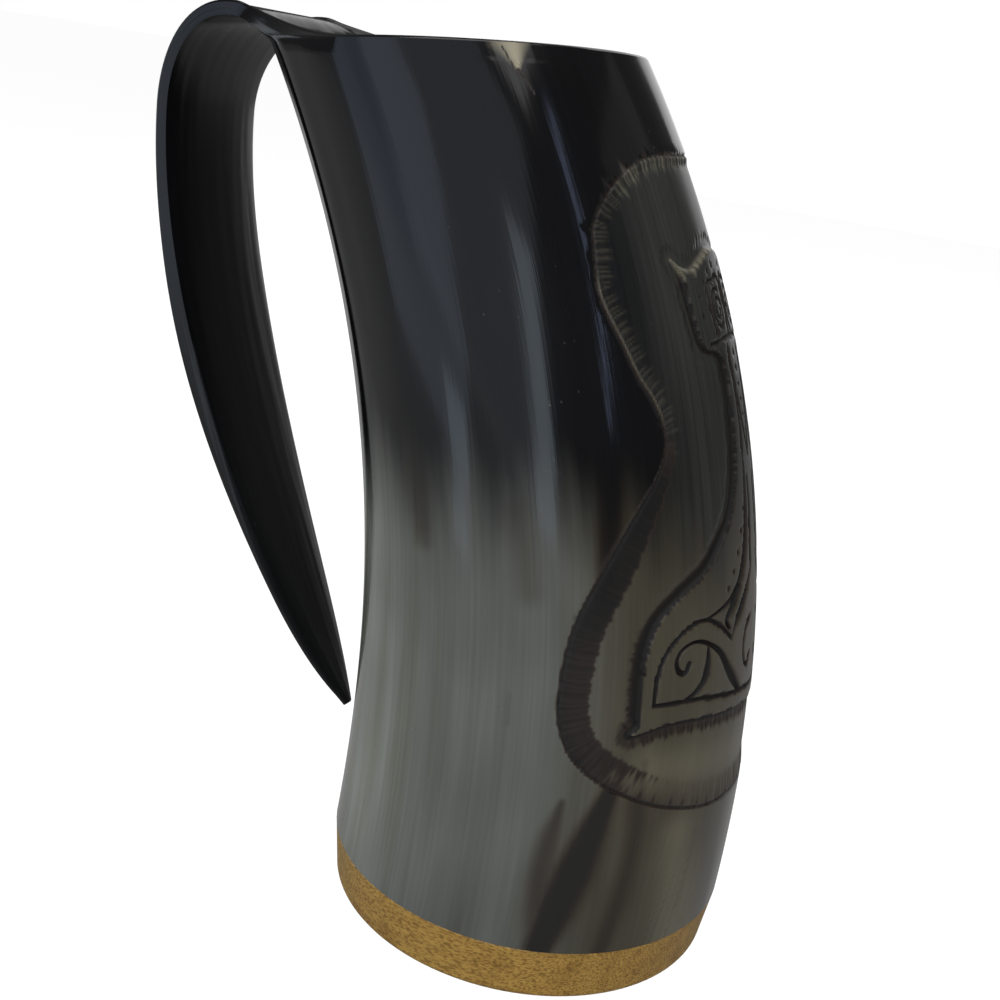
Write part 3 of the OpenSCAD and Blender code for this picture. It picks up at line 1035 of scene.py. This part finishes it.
    def fine_gap(self, points: Array, flat: Array, level: int) -> Array:
        """Distance from each point to what a step of cutting the faces smaller is for."""
        carving, reach = self.carving, self.fine_steps[0]
        border, hammer = carving.border(), carving.hammer()
        gap = carving.detail_gap(points, reach)
        if level < self.band_steps:
            ground = inside_outline(flat, border) & ~inside_outline(flat, hammer)
            for outline, band in ((border, carving.border_band), (hammer, carving.hammer_band)):
                edge_gap = nearest_on_line(points, carving.closed_line(outline))[0]
                gap = np.minimum(gap, edge_gap - band * ground)
            gap = np.minimum(gap, carving.gap_to(carving.lines((*PALE_STAINS, *CRACKS)), points, reach))
        if level < self.stain_steps:
            gap = np.minimum(gap, carving.gap_to(carving.lines(DARK_STAINS), points, reach))
        return np.where(inside_outline(flat, border), 0.0, gap) if level == 0 else gap

    def refine_panel(self, mesh: Mesh) -> None:
        """Cuts the faces smaller, step by step, towards the lines of the carving."""
        for level, reach in enumerate(self.fine_steps):
            index, points, _, flat = self.panel(mesh, self.body_rows)
            wanted = np.zeros(len(mesh.vertices), bool)
            wanted[index[self.fine_gap(points, flat, level) < reach]] = True
            chosen = [poly.index for poly in mesh.polygons if all(wanted[v] for v in poly.vertices)]
            bpy.ops.object.mode_set(mode="EDIT")
            bpy.ops.mesh.select_mode(type="FACE")
            bpy.ops.mesh.select_all(action="DESELECT")
            bm = bmesh.from_edit_mesh(mesh)
            bm.faces.ensure_lookup_table()
            for i in chosen:
                bm.faces[i].select_set(True)
            bmesh.update_edit_mesh(mesh, loop_triangles=False)
            bpy.ops.mesh.subdivide(number_cuts=1, ngon=False, quadcorner="STRAIGHT_CUT")
            bpy.ops.mesh.select_mode(type="VERT")
            bpy.ops.object.mode_set(mode="OBJECT")
            LOG.info("panel step %d: %d faces cut, %d points", level, len(chosen), len(mesh.vertices))

    def carve(self, mesh: Mesh) -> None:
        """Presses the carving into the outer skin and writes the colour attributes."""
        places, turn, row, sheet = self.skin_values(mesh)
        names = (Attribute.BURN_AND_SHADE, Attribute.PALE, Attribute.CUT, Attribute.STAIN, Attribute.ALONG)
        values = {name: np.zeros(len(places), np.float32) for name in names}
        skin = np.nonzero((sheet == Sheet.OUTER) & (row <= self.body_rows))[0]
        grown = {Attribute.STAIN: DARK_STAINS, Attribute.PALE: PALE_STAINS, Attribute.BURN_AND_SHADE: CRACKS}
        for name, stains in grown.items():
            values[name][skin] = self.carving.stain(places[skin], stains)
        index, _, share, flat = self.panel(mesh, self.body_rows - 1)
        found = self.carving.cut(self.horn.outer(share, turn[index]), flat)
        places[index] = self.horn.outer(share, turn[index], found.depth)
        carved = {Attribute.BURN_AND_SHADE: found.burn_and_shade, Attribute.PALE: found.pale, Attribute.CUT: found.sanded}
        for name, carved_value in carved.items():
            values[name][index] = np.maximum(values[name][index], carved_value)
        values[Attribute.ALONG][index] = found.along
        for name, array in values.items():
            mesh.attributes.new(name, "FLOAT", "POINT").data.foreach_set("value", array)
        mesh.vertices.foreach_set("co", (places * MM).astype(np.float32).ravel())
        mesh.update()

    def lay_grain(self, mesh: Mesh) -> None:
        """Writes each point's place on the horn laid out straight, which the fibres follow."""
        places, turn, row, sheet = self.skin_values(mesh)
        angle = np.radians(turn)
        paths = self.handle.paths()
        run = [paths[0][0], *(bezier(paths[leg], t) for leg, t in self.strip_steps())]
        lengths = np.concatenate([[0.0], np.cumsum(np.linalg.norm(np.diff(run, axis=0), axis=1))])
        past = np.maximum(row - self.body_rows, 0)
        straight = self.horn.seam_height + self.horn.length * self.shares_on_body(places)
        straight = np.where(past > 0, self.horn.rim_height + lengths[past], straight)
        radius = np.where(sheet == Sheet.INNER, self.inner_grain_radius, self.grain_radius)
        grain = np.stack([-radius * np.cos(angle), radius * np.sin(angle), straight], -1) * MM
        layer = mesh.attributes.new(Attribute.GRAIN, "FLOAT_VECTOR", "POINT")
        layer.data.foreach_set("vector", grain.astype(np.float32).ravel())

    def build(self) -> bpy.types.Object:
        """Makes the whole horn as one closed mesh.

        Returns:
            The finished object, which stands for the CAD horn.
        """
        deselect_all()
        bpy.ops.mesh.primitive_circle_add(vertices=3, radius=self.merge_gap)
        cup = bpy.context.object
        cup.name = "carved_horn"
        mesh = cup.data
        mesh.name = "carved_horn"
        for name in (Attribute.COLUMN, Attribute.ROW, Attribute.SHEET):
            mesh.attributes.new(name, "INT", "POINT")
        mesh.attributes.new(Attribute.TURN, "FLOAT", "POINT")
        bpy.ops.object.mode_set(mode="EDIT")
        bpy.ops.mesh.select_all(action="SELECT")
        bpy.ops.mesh.delete(type="VERT")
        self.grow_skin(mesh, Sheet.OUTER)
        self.round_cut_edge(mesh)
        self.grow_skin(mesh, Sheet.INNER)
        self.close_foot(mesh)
        close_mesh(self.merge_gap)
        self.refine_panel(mesh)
        self.carve(mesh)
        self.lay_grain(mesh)
        deselect_all()
        cup.select_set(True)
        bpy.context.view_layer.objects.active = cup
        bpy.ops.object.shade_smooth_by_angle(angle=self.smooth_angle)
        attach(cup, "root")
        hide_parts("horn")
        return cup


@dataclass
class WoodenBase:
    """The turned disc under the horn, spun from half its outline."""

    shape: HornShape = field(default_factory=HornShape)
    foot_radius: float = 39.4
    foot_edge: float = 1.6
    top_edge: float = 0.25
    top_draw: float = 0.02
    spigot_radius: float = 36.86
    spigot_height: float = 7.0
    corner_steps: int = 8
    side_steps: int = 5
    spin_steps: int = 120
    merge_gap: float = 1e-6
    smooth_angle: float = math.radians(38)

    def outline(self) -> list[Pair]:
        """Half outline from the middle of the underside to the middle of the spigot's top."""
        top, seam, edge = self.shape.seam_height, self.shape.radii[0], self.foot_edge
        points = [(0.0, 0.0)]
        for angle in np.linspace(-math.pi / 2, 0, self.corner_steps + 1):
            points.append((self.foot_radius - edge + edge * math.cos(angle), edge + edge * math.sin(angle)))
        for share in np.linspace(0, 1, self.side_steps + 1)[1:-1]:
            points.append((between(self.foot_radius, seam, share), between(edge, top, share)))
        return [
            *points,
            (seam - self.top_draw, top - self.top_edge),
            (seam - self.top_edge, top),
            (self.spigot_radius, top),
            (self.spigot_radius, top + self.spigot_height),
            (0.0, top + self.spigot_height),
        ]

    def build(self) -> bpy.types.Object:
        """Spins the outline into the disc.

        Returns:
            The finished object, which stands for the CAD base.
        """
        deselect_all()
        bpy.ops.mesh.primitive_circle_add(vertices=3, radius=MM)
        disc = bpy.context.object
        disc.name = "turned_wooden_base"
        bpy.ops.object.mode_set(mode="EDIT")
        bm = bmesh.from_edit_mesh(disc.data)
        first = bm.verts[:][0]
        bm.verts.ensure_lookup_table()
        bmesh.ops.delete(bm, geom=[v for v in bm.verts if v != first], context="VERTS")
        outline = self.outline()
        first.co = Vector((outline[0][0], 0, outline[0][1])) * MM
        first.select_set(True)
        bmesh.update_edit_mesh(disc.data)
        for before, after in zip(outline, outline[1:]):
            step = ((after[0] - before[0]) * MM, 0.0, (after[1] - before[1]) * MM)
            bpy.ops.mesh.extrude_region_move(TRANSFORM_OT_translate={"value": step})
        bpy.ops.mesh.select_all(action="SELECT")
        bpy.ops.mesh.spin(steps=self.spin_steps, angle=2 * math.pi, center=(0, 0, 0), axis=(0, 0, 1))
        close_mesh(self.merge_gap)
        bpy.ops.object.shade_smooth_by_angle(angle=self.smooth_angle)
        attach(disc, "root")
        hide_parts("wooden_base")
        return disc


def linear(hex_colour: str) -> tuple[float, float, float, float]:
    """Linear colour, with full alpha, from an sRGB hex value."""
    parts = [int(hex_colour[i : i + 2], 16) / 255 for i in (1, 3, 5)]
    turned = [p / 12.92 if p <= 0.04045 else ((p + 0.055) / 1.055) ** 2.4 for p in parts]
    return (*turned, 1.0)


@dataclass(frozen=True)
class Noise:
    """A noise: how wide its spots are, and how much longer they are along one axis."""

    width_mm: float
    longer: float = 1.0
    detail: float = 3.0
    seed: float = 0.0
    axis: int = 2


class Nodes:
    """The cleared node tree of a material or the world, with short ways to fill it."""

    def __init__(self, owner: bpy.types.Material | bpy.types.World) -> None:
        """Clears the owner's node tree."""
        self.owner = owner
        owner.use_nodes = True
        owner.node_tree.nodes.clear()

    def add(self, kind: str, links: dict | None = None, **settings: object) -> bpy.types.Node:
        """Adds a node with its settings and links.

        Args:
            kind: The node's type name, after ShaderNode.
            links: Input name or number to the socket that feeds it, or to a plain value.
            settings: Properties of the node itself.

        Returns:
            The new node.
        """
        tree = self.owner.node_tree
        node = tree.nodes.new(f"ShaderNode{kind}")
        for name, value in settings.items():
            setattr(node, name, value)
        for key, value in (links or {}).items():
            if isinstance(value, Socket):
                tree.links.new(value, node.inputs[key])
            else:
                node.inputs[key].default_value = value
        return node

    def attribute(self, name: Attribute, output: str = "Fac") -> Socket:
        """One of the values that the horn's mesh carries."""
        return self.add("Attribute", attribute_name=name).outputs[output]

    def sums(self, kind: str, a: object, b: object, c: object = 0.0) -> Socket:
        """Result of a sum."""
        return self.add("Math", {0: a, 1: b, 2: c}, operation=kind).outputs[0]

    def mix(self, share: object, a: object, b: object, kind: str = "MIX") -> Socket:
        """Mix of two colours."""
        return self.add("Mix", {0: share, 6: a, 7: b}, data_type="RGBA", blend_type=kind).outputs[2]

    def spread(self, value: Socket, ends: Pair, full: Pair = (0.0, 1.0)) -> Socket:
        """Smooth step between the two full values as the value goes from one end to the other."""
        links = dict(enumerate((value, *ends, *full)))
        return self.add("MapRange", links, interpolation_type="SMOOTHSTEP").outputs[0]

    def ramp(self, value: Socket, *stops: tuple[float, str]) -> Socket:
        """Colour of a ramp with the given stops."""
        node = self.add("ValToRGB", {0: value})
        elements = node.color_ramp.elements
        while len(elements) < len(stops):
            elements.new(0.5)
        for element, (place, colour) in zip(elements, stops):
            element.position = place
            element.color = linear(colour)
        return node.outputs["Color"]

    def noise(self, place: Socket, noise: Noise) -> Socket:
        """Value of a noise, from 0 to 1."""
        scale = [1 / (noise.width_mm * MM)] * 3
        scale[noise.axis] /= noise.longer
        moved = self.add("Mapping", {0: place, 1: [noise.seed] * 3, 3: scale}).outputs[0]
        return self.add("TexNoise", {0: moved, "Scale": 1.0, "Detail": noise.detail}).outputs[0]

    def bump(self, height: Socket, strength: float, depth: float, **links: object) -> Socket:
        """Normal of a face that is bumpy by a depth in metres."""
        links |= {"Height": height, "Strength": strength, "Distance": depth}
        return self.add("Bump", links).outputs[0]

    def end(self, kind: str, links: dict) -> bpy.types.Material | bpy.types.World:
        """Adds the last shader, feeds the output with it and gives back the owner."""
        output = "OutputWorld" if isinstance(self.owner, bpy.types.World) else "OutputMaterial"
        self.add(output, {0: self.add(kind, links).outputs[0]})
        return self.owner


@dataclass(frozen=True)
class PolishedHorn:
    """Water buffalo horn, scraped, polished and waxed: black at the tip end and smoky grey below.

    The ends are where something starts and where it is full: black and handle along the horn laid
    out straight, olive, dust and ash from its back to its front, all in metres, and the others in
    noises and colour values. A pair named most is a share at the start and at the full end.
    """

    black: str = "#0d0d0f"
    slate: str = "#60625d"
    ash: str = "#888b82"
    olive: str = "#494436"
    dust_stops: Stops = ((0.35, "#1c1d1b"), (0.65, "#333430"))
    streak_stops: Stops = ((0.34, "#e4e0da"), (0.5, "#f6f6f6"), (0.62, "#ffffff"))
    fibre_stops: Stops = ((0.3, "#ececec"), (0.7, "#ffffff"))
    cloud_stops: Stops = ((0.35, "#d8d8d8"), (0.65, "#ffffff"))
    stain_stops: Stops = ((0.25, "#33271a"), (0.8, "#11100e"))
    burn_and_shade_stops: Stops = ((0.5, "#251b16"), (1.0, "#0b0908"))
    bone_and_highlight: str = "#a59d84"
    smear: str = "#7d8283"
    streaks: Noise = Noise(7.0, 14.0)
    fibres: Noise = Noise(0.6, 60.0, 2.0, 3.0)
    clouds: Noise = Noise(22.0, 2.0, 2.0, 7.0)
    specks: Noise = Noise(0.9, 1.5, 2.0, 11.0)
    swell: Noise = Noise(9.0, 5.0, 1.0, 17.0)
    swell_bump: Pair = (0.3, 0.0007)
    fibre_bump: Pair = (0.08, 0.0002)
    tick_mm: float = 0.42
    tick_ends: Pair = (0.35, 0.65)
    tick_darkening: float = 0.3
    tick_bone: float = 0.7
    speck_ends: Pair = (0.7, 0.85)
    speck_most: Pair = (0.0, 0.3)
    smear_ends: Pair = (0.52, 0.6)
    stain_ends: Pair = (0.0, 0.7)
    stain_most: Pair = (0.0, 0.94)
    dust_most: Pair = (0.1, 0.85)
    burn_and_shade_ends: Pair = (0.03, 0.45)
    burn_and_shade_most: Pair = (0.0, 0.97)
    wander: float = 0.034
    black_ends: Pair = (0.076, 0.104)
    olive_ends: Pair = (0.010, 0.028)
    dust_ends: Pair = (0.028, 0.034)
    ash_ends: Pair = (-0.006, -0.024)
    handle_ends: Pair = (0.165, 0.185)
    gloss: float = 0.09
    handle_rough: float = 0.17
    sanded_rough: float = 0.2
    fibre_rough: float = 0.06
    burn_and_shade_rough: float = 0.35
    ior: float = 1.54
    specular: float = 0.42

    def make(self) -> bpy.types.Material:
        """Builds the material, whose fibres follow the horn laid out straight."""
        nodes = Nodes(bpy.data.materials.new("polished_buffalo_horn"))
        mix, sums, spread, ramp = nodes.mix, nodes.sums, nodes.spread, nodes.ramp
        grain = nodes.attribute(Attribute.GRAIN, "Vector")
        across, _, up = nodes.add("SeparateXYZ", {0: grain}).outputs
        names = (Attribute.BURN_AND_SHADE, Attribute.PALE, Attribute.CUT, Attribute.STAIN, Attribute.ALONG)
        burn_and_shade, pale, cut, stain, along = map(nodes.attribute, names)
        streaks, fibres = nodes.noise(grain, self.streaks), nodes.noise(grain, self.fibres)
        clouds = nodes.noise(grain, self.clouds)

        level = sums("MULTIPLY_ADD", sums("SUBTRACT", streaks, 0.5), self.wander, up)
        low = mix(spread(across, self.ash_ends), linear(self.slate), linear(self.ash))
        low = mix(spread(across, self.olive_ends), low, linear(self.olive))
        low = mix(1.0, low, ramp(streaks, *self.streak_stops), "MULTIPLY")
        low = mix(spread(stain, self.stain_ends, self.stain_most), low, ramp(stain, *self.stain_stops))
        body = mix(spread(level, self.black_ends), low, linear(self.black))
        body = mix(1.0, body, ramp(fibres, *self.fibre_stops), "MULTIPLY")
        body = mix(1.0, body, ramp(clouds, *self.cloud_stops), "MULTIPLY")
        specks = spread(nodes.noise(grain, self.specks), self.speck_ends, self.speck_most)
        body = mix(sums("MULTIPLY", specks, spread(clouds, self.smear_ends)), body, linear(self.smear))

        step = {"W": sums("DIVIDE", along, self.tick_mm), "Detail": 1.0}
        tick = spread(nodes.add("TexNoise", step, noise_dimensions="1D").outputs[0], self.tick_ends)
        dust = sums("ADD", sums("MULTIPLY", fibres, 0.5), sums("MULTIPLY", clouds, 0.5))
        sanded = sums("MULTIPLY", cut, spread(across, self.dust_ends, self.dust_most))
        body = mix(sanded, body, ramp(dust, *self.dust_stops), "LIGHTEN")
        # Pale horn, pale chisel marks and a painted highlight along the hammer's top edge take the bone
        # colour.
        marked = sums("MULTIPLY_ADD", tick, self.tick_bone, 1 - self.tick_bone)
        body = mix(sums("MULTIPLY", pale, marked), body, linear(self.bone_and_highlight))
        # Burnt carving and cracks, and the painted shadow along the hammer's walls, darken the face here.
        darkening = ramp(sums("MULTIPLY_ADD", tick, self.tick_darkening, burn_and_shade), *self.burn_and_shade_stops)
        body = mix(spread(burn_and_shade, self.burn_and_shade_ends, self.burn_and_shade_most), body, darkening)

        rough = sums("ADD", spread(up, self.handle_ends, (0.0, self.handle_rough)), self.gloss)
        for share, amount in ((cut, self.sanded_rough), (fibres, self.fibre_rough), (burn_and_shade, self.burn_and_shade_rough)):
            rough = sums("MULTIPLY_ADD", share, amount, rough)
        swell = nodes.bump(nodes.noise(grain, self.swell), *self.swell_bump)
        bump = nodes.bump(fibres, *self.fibre_bump, Normal=swell)
        face = {"Base Color": body, "Roughness": rough, "Normal": bump, "IOR": self.ior}
        return nodes.end("BsdfPrincipled", face | {"Specular IOR Level": self.specular})


@dataclass(frozen=True)
class OiledWood:
    """Golden hardwood, turned and oiled: fine dark pores in a warm satin face."""

    light: str = "#a5833f"
    middle: str = "#8d6b2e"
    pore: str = "#b9ab98"
    rings: Noise = Noise(3.0, 8.0, 4.0, axis=0)
    pores: Noise = Noise(0.35, 3.0, 2.0, axis=0)
    pore_bump: Pair = (0.25, 0.0002)
    roughness: float = 0.5
    ior: float = 1.5

    def make(self) -> bpy.types.Material:
        """Builds the material from the piece's own coordinates, with the grain along X."""
        nodes = Nodes(bpy.data.materials.new("oiled_golden_hardwood"))
        place = nodes.add("TexCoord").outputs["Object"]
        rings, pores = nodes.noise(place, self.rings), nodes.noise(place, self.pores)
        colour = nodes.ramp(rings, (0.3, self.middle), (0.55, self.light), (0.75, self.middle))
        colour = nodes.mix(1.0, colour, nodes.ramp(pores, (0.38, self.pore), (0.55, "#ffffff")), "MULTIPLY")
        face = {"Base Color": colour, "Roughness": self.roughness, "IOR": self.ior}
        return nodes.end("BsdfPrincipled", face | {"Normal": nodes.bump(pores, *self.pore_bump)})


@dataclass(frozen=True)
class SetResin:
    """Clear epoxy, poured or squeezed in and set: glossy, and amber over the wood."""

    name: str
    colour: str
    deep: str
    roughness: float
    swirl: Noise = Noise(9.0)
    swirl_bump: Pair = (0.08, 0.0003)
    ior: float = 1.55
    coat: float = 0.3

    def make(self) -> bpy.types.Material:
        """Builds the material with a slight swirl of colour."""
        nodes = Nodes(bpy.data.materials.new(self.name))
        swirl = nodes.noise(nodes.add("TexCoord").outputs["Object"], self.swirl)
        colour = nodes.ramp(swirl, (0.35, self.deep), (0.65, self.colour))
        face = {"Base Color": colour, "Roughness": self.roughness, "IOR": self.ior, "Coat Weight": self.coat}
        return nodes.end("BsdfPrincipled", face | {"Normal": nodes.bump(swirl, *self.swirl_bump)})


def dress(piece: bpy.types.Object, material: bpy.types.Material) -> None:
    """Gives a piece one material."""
    piece.data.materials.clear()
    piece.data.materials.append(material)


@dataclass(frozen=True)
class SoftLight:
    """A soft box: where it stands and how wide and tall it looks from the cup, in degrees.

    Its level is its brightness, and its reach is its distance in metres.
    """

    name: str
    azimuth: float
    rise: float
    wide: float
    tall: float
    level: float
    colour: str = "#ffffff"
    reach: float = 1.3
    mirrored: bool = True


STUDIO_LIGHTS = (
    SoftLight("left_window", -128.0, 5.0, 42.0, 40.0, 0.74, "#b9cfea", reach=0.5),
    SoftLight("right_window", -71.0, 8.0, 11.0, 34.0, 1.6, "#cfe0ee"),
    SoftLight("pale_wall", -98.0, 22.0, 64.0, 50.0, 0.5, "#dde6f0", reach=1.7),
    SoftLight("low_window", -114.0, -9.0, 12.0, 13.0, 1.2, "#cfe0ee", reach=0.32),
    SoftLight("window_gap", -32.0, 31.0, 0.9, 34.0, 5.0, "#c2d4ff"),
    SoftLight("high_window", 24.0, 32.0, 40.0, 30.0, 0.16, "#f2f2ee"),
    SoftLight("overhead", -90.0, 80.0, 60.0, 60.0, 1.4),
    SoftLight("front_fill", -75.0, 18.0, 50.0, 40.0, 3.6, mirrored=False),
    SoftLight("right_fill", 20.0, 25.0, 50.0, 40.0, 1.2, mirrored=False),
    SoftLight("rear_fill", 110.0, 25.0, 50.0, 40.0, 2.2, mirrored=False),
    SoftLight("handle_fill", 178.0, 20.0, 40.0, 40.0, 1.4, mirrored=False),
    SoftLight("rear_window", 168.0, 8.0, 16.0, 40.0, 0.7, "#dde6f0"),
)


@dataclass
class Studio:
    """Pale floor, soft lights and the camera at the photograph's angle."""

    camera_turn: float = math.radians(19.96)
    camera_reach: float = 248.34
    camera_height: float = 162.32
    pitch: float = math.radians(17.64)
    yaw: float = math.radians(3.90)
    roll: float = math.radians(9.10)
    focal_px: float = 1321.0
    frame_px: float = 1000.0
    sensor_mm: float = 36.0
    clip_start: float = 0.01
    room_level: float = 0.085
    paper: str = "#707070"
    white: str = "#ffffff"
    floor_size: float = 24.0
    floor_glow: float = 0.96
    floor_mirrored: float = 0.17
    backdrop_angles: Pair = (80.0, 120.0)
    backdrop_reach: float = 2.4
    backdrop_height: float = 3.0
    backdrop_middle: float = 1.4
    backdrop_facets: int = 96
    aim: tuple[float, float, float] = (-0.02, 0.0, 0.09)

    def add_camera(self) -> None:
        """Puts up the camera."""
        data = bpy.data.cameras.new("photo_camera")
        data.sensor_width = self.sensor_mm
        data.lens = self.sensor_mm * self.focal_px / self.frame_px
        data.clip_start = self.clip_start
        camera = bpy.data.objects.new("photo_camera", data)
        bpy.context.scene.collection.objects.link(camera)
        stand = Vector((0.0, -self.camera_reach, self.camera_height)) * MM
        place = Matrix.Rotation(self.camera_turn, 4, "Z") @ Matrix.Translation(stand)
        look = Matrix.Rotation(self.yaw, 4, "Z") @ Matrix.Rotation(math.pi / 2 - self.pitch, 4, "X")
        camera.matrix_world = place @ look @ Matrix.Rotation(self.roll, 4, "Z")
        bpy.context.scene.camera = camera

    @staticmethod
    def shown_white(nodes: Nodes, strength: float, mirrored: float) -> Socket:
        """Strength of a glow that lights nothing.

        Args:
            nodes: The material's or the world's nodes.
            strength: Strength that the camera and clear pieces see, where 1 is white.
            mirrored: Strength that reflections see.

        Returns:
            The socket with the strength, which is 0 for all other rays.
        """
        ray = nodes.add("LightPath").outputs
        seen = nodes.sums("MAXIMUM", ray["Is Camera Ray"], ray["Is Transmission Ray"])
        glossy = nodes.sums("MULTIPLY", ray["Is Glossy Ray"], mirrored)
        return nodes.sums("MAXIMUM", nodes.sums("MULTIPLY", seen, strength), glossy)

    def white_surface(self, name: str, glow: float, mirrored: float) -> bpy.types.Material:
        """Matte paper that the camera sees as white, and that still takes a shadow."""
        nodes = Nodes(bpy.data.materials.new(name))
        strength = self.shown_white(nodes, glow, mirrored)
        face = nodes.add("BsdfDiffuse", {"Color": linear(self.paper)})
        light = nodes.add("Emission", {"Color": linear(self.white), "Strength": strength})
        return nodes.end("AddShader", {0: face.outputs[0], 1: light.outputs[0]})

    def add_floor(self) -> None:
        """Lays a wide white floor and stands a curved white card behind the cup."""
        deselect_all()
        bpy.ops.mesh.primitive_plane_add(size=self.floor_size)
        floor = bpy.context.object
        floor.name = "floor"
        dress(floor, self.white_surface("white_floor_paper", self.floor_glow, self.floor_mirrored))
        deselect_all()
        bpy.ops.mesh.primitive_cylinder_add(
            vertices=self.backdrop_facets,
            radius=self.backdrop_reach,
            depth=self.backdrop_height,
            end_fill_type="NOTHING",
        )
        backdrop = bpy.context.object
        backdrop.name = "backdrop"
        backdrop.location = (0, 0, self.backdrop_middle)
        bpy.ops.object.transform_apply(location=True)
        bpy.ops.object.mode_set(mode="EDIT")
        for angle, side in zip(self.backdrop_angles, (1.0, -1.0)):
            turned = math.radians(angle)
            keep = (-math.sin(turned) * side, math.cos(turned) * side, 0.0)
            bpy.ops.mesh.select_all(action="SELECT")
            bpy.ops.mesh.bisect(plane_co=(0, 0, 0), plane_no=keep, clear_inner=True)
        bpy.ops.object.mode_set(mode="OBJECT")
        dress(backdrop, self.white_surface("white_backdrop_paper", 1.0, 1.0))

    def add_world(self) -> None:
        """A dim, even room all round that the camera sees as white."""
        bpy.context.scene.world = bpy.data.worlds.new("studio")
        nodes = Nodes(bpy.context.scene.world)
        strength = nodes.sums("MAXIMUM", self.shown_white(nodes, 1.0, 0.0), self.room_level)
        nodes.end("Background", {"Color": linear(self.white), "Strength": strength})

    def add_light(self, light: SoftLight) -> None:
        """Hangs one soft rectangular light that faces the cup."""
        data = bpy.data.lights.new(light.name, "AREA")
        data.shape = "RECTANGLE"
        data.size = 2 * light.reach * math.tan(math.radians(light.wide / 2))
        data.size_y = 2 * light.reach * math.tan(math.radians(light.tall / 2))
        data.energy = light.level * math.pi * data.size * data.size_y
        data.color = linear(light.colour)[:3]
        lamp = bpy.data.objects.new(light.name, data)
        bpy.context.scene.collection.objects.link(lamp)
        azimuth, rise = math.radians(light.azimuth), math.radians(light.rise)
        way = Vector((math.cos(azimuth) * math.cos(rise), math.sin(azimuth) * math.cos(rise), math.sin(rise)))
        lamp.location = Vector(self.aim) + way * light.reach
        lamp.rotation_euler = (-way).to_track_quat("-Z", "Y").to_euler()
        lamp.visible_glossy = light.mirrored

    def build(self) -> None:
        """Sets up the floor, the surround, the lights and the camera."""
        self.add_floor()
        self.add_world()
        for light in STUDIO_LIGHTS:
            self.add_light(light)
        self.add_camera()
        bpy.context.scene.view_settings.view_transform = "Standard"


def main() -> None:
    """Builds the cup around its frame and reports each piece."""
    logging.basicConfig(level=logging.INFO, format="%(message)s")
    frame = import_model()
    cup = HornCup().build()
    dress(cup, PolishedHorn().make())
    base = WoodenBase().build()
    dress(base, OiledWood().make())
    dress(frame["nodes"]["glue_joint"], SetResin("set_epoxy_glue", "#c9b27a", "#a88f55", 0.3).make())
    dress(frame["nodes"]["floor_seal"], SetResin("clear_epoxy_floor", "#8a6636", "#6f4f28", 0.08).make())
    for piece in (cup, base):
        piece.data.calc_loop_triangles()
        points, triangles = len(piece.data.vertices), len(piece.data.loop_triangles)
        LOG.info("%s: %d points, %d triangles", piece.name, points, triangles)
    Studio().build()


if __name__ == "__main__":
    main()
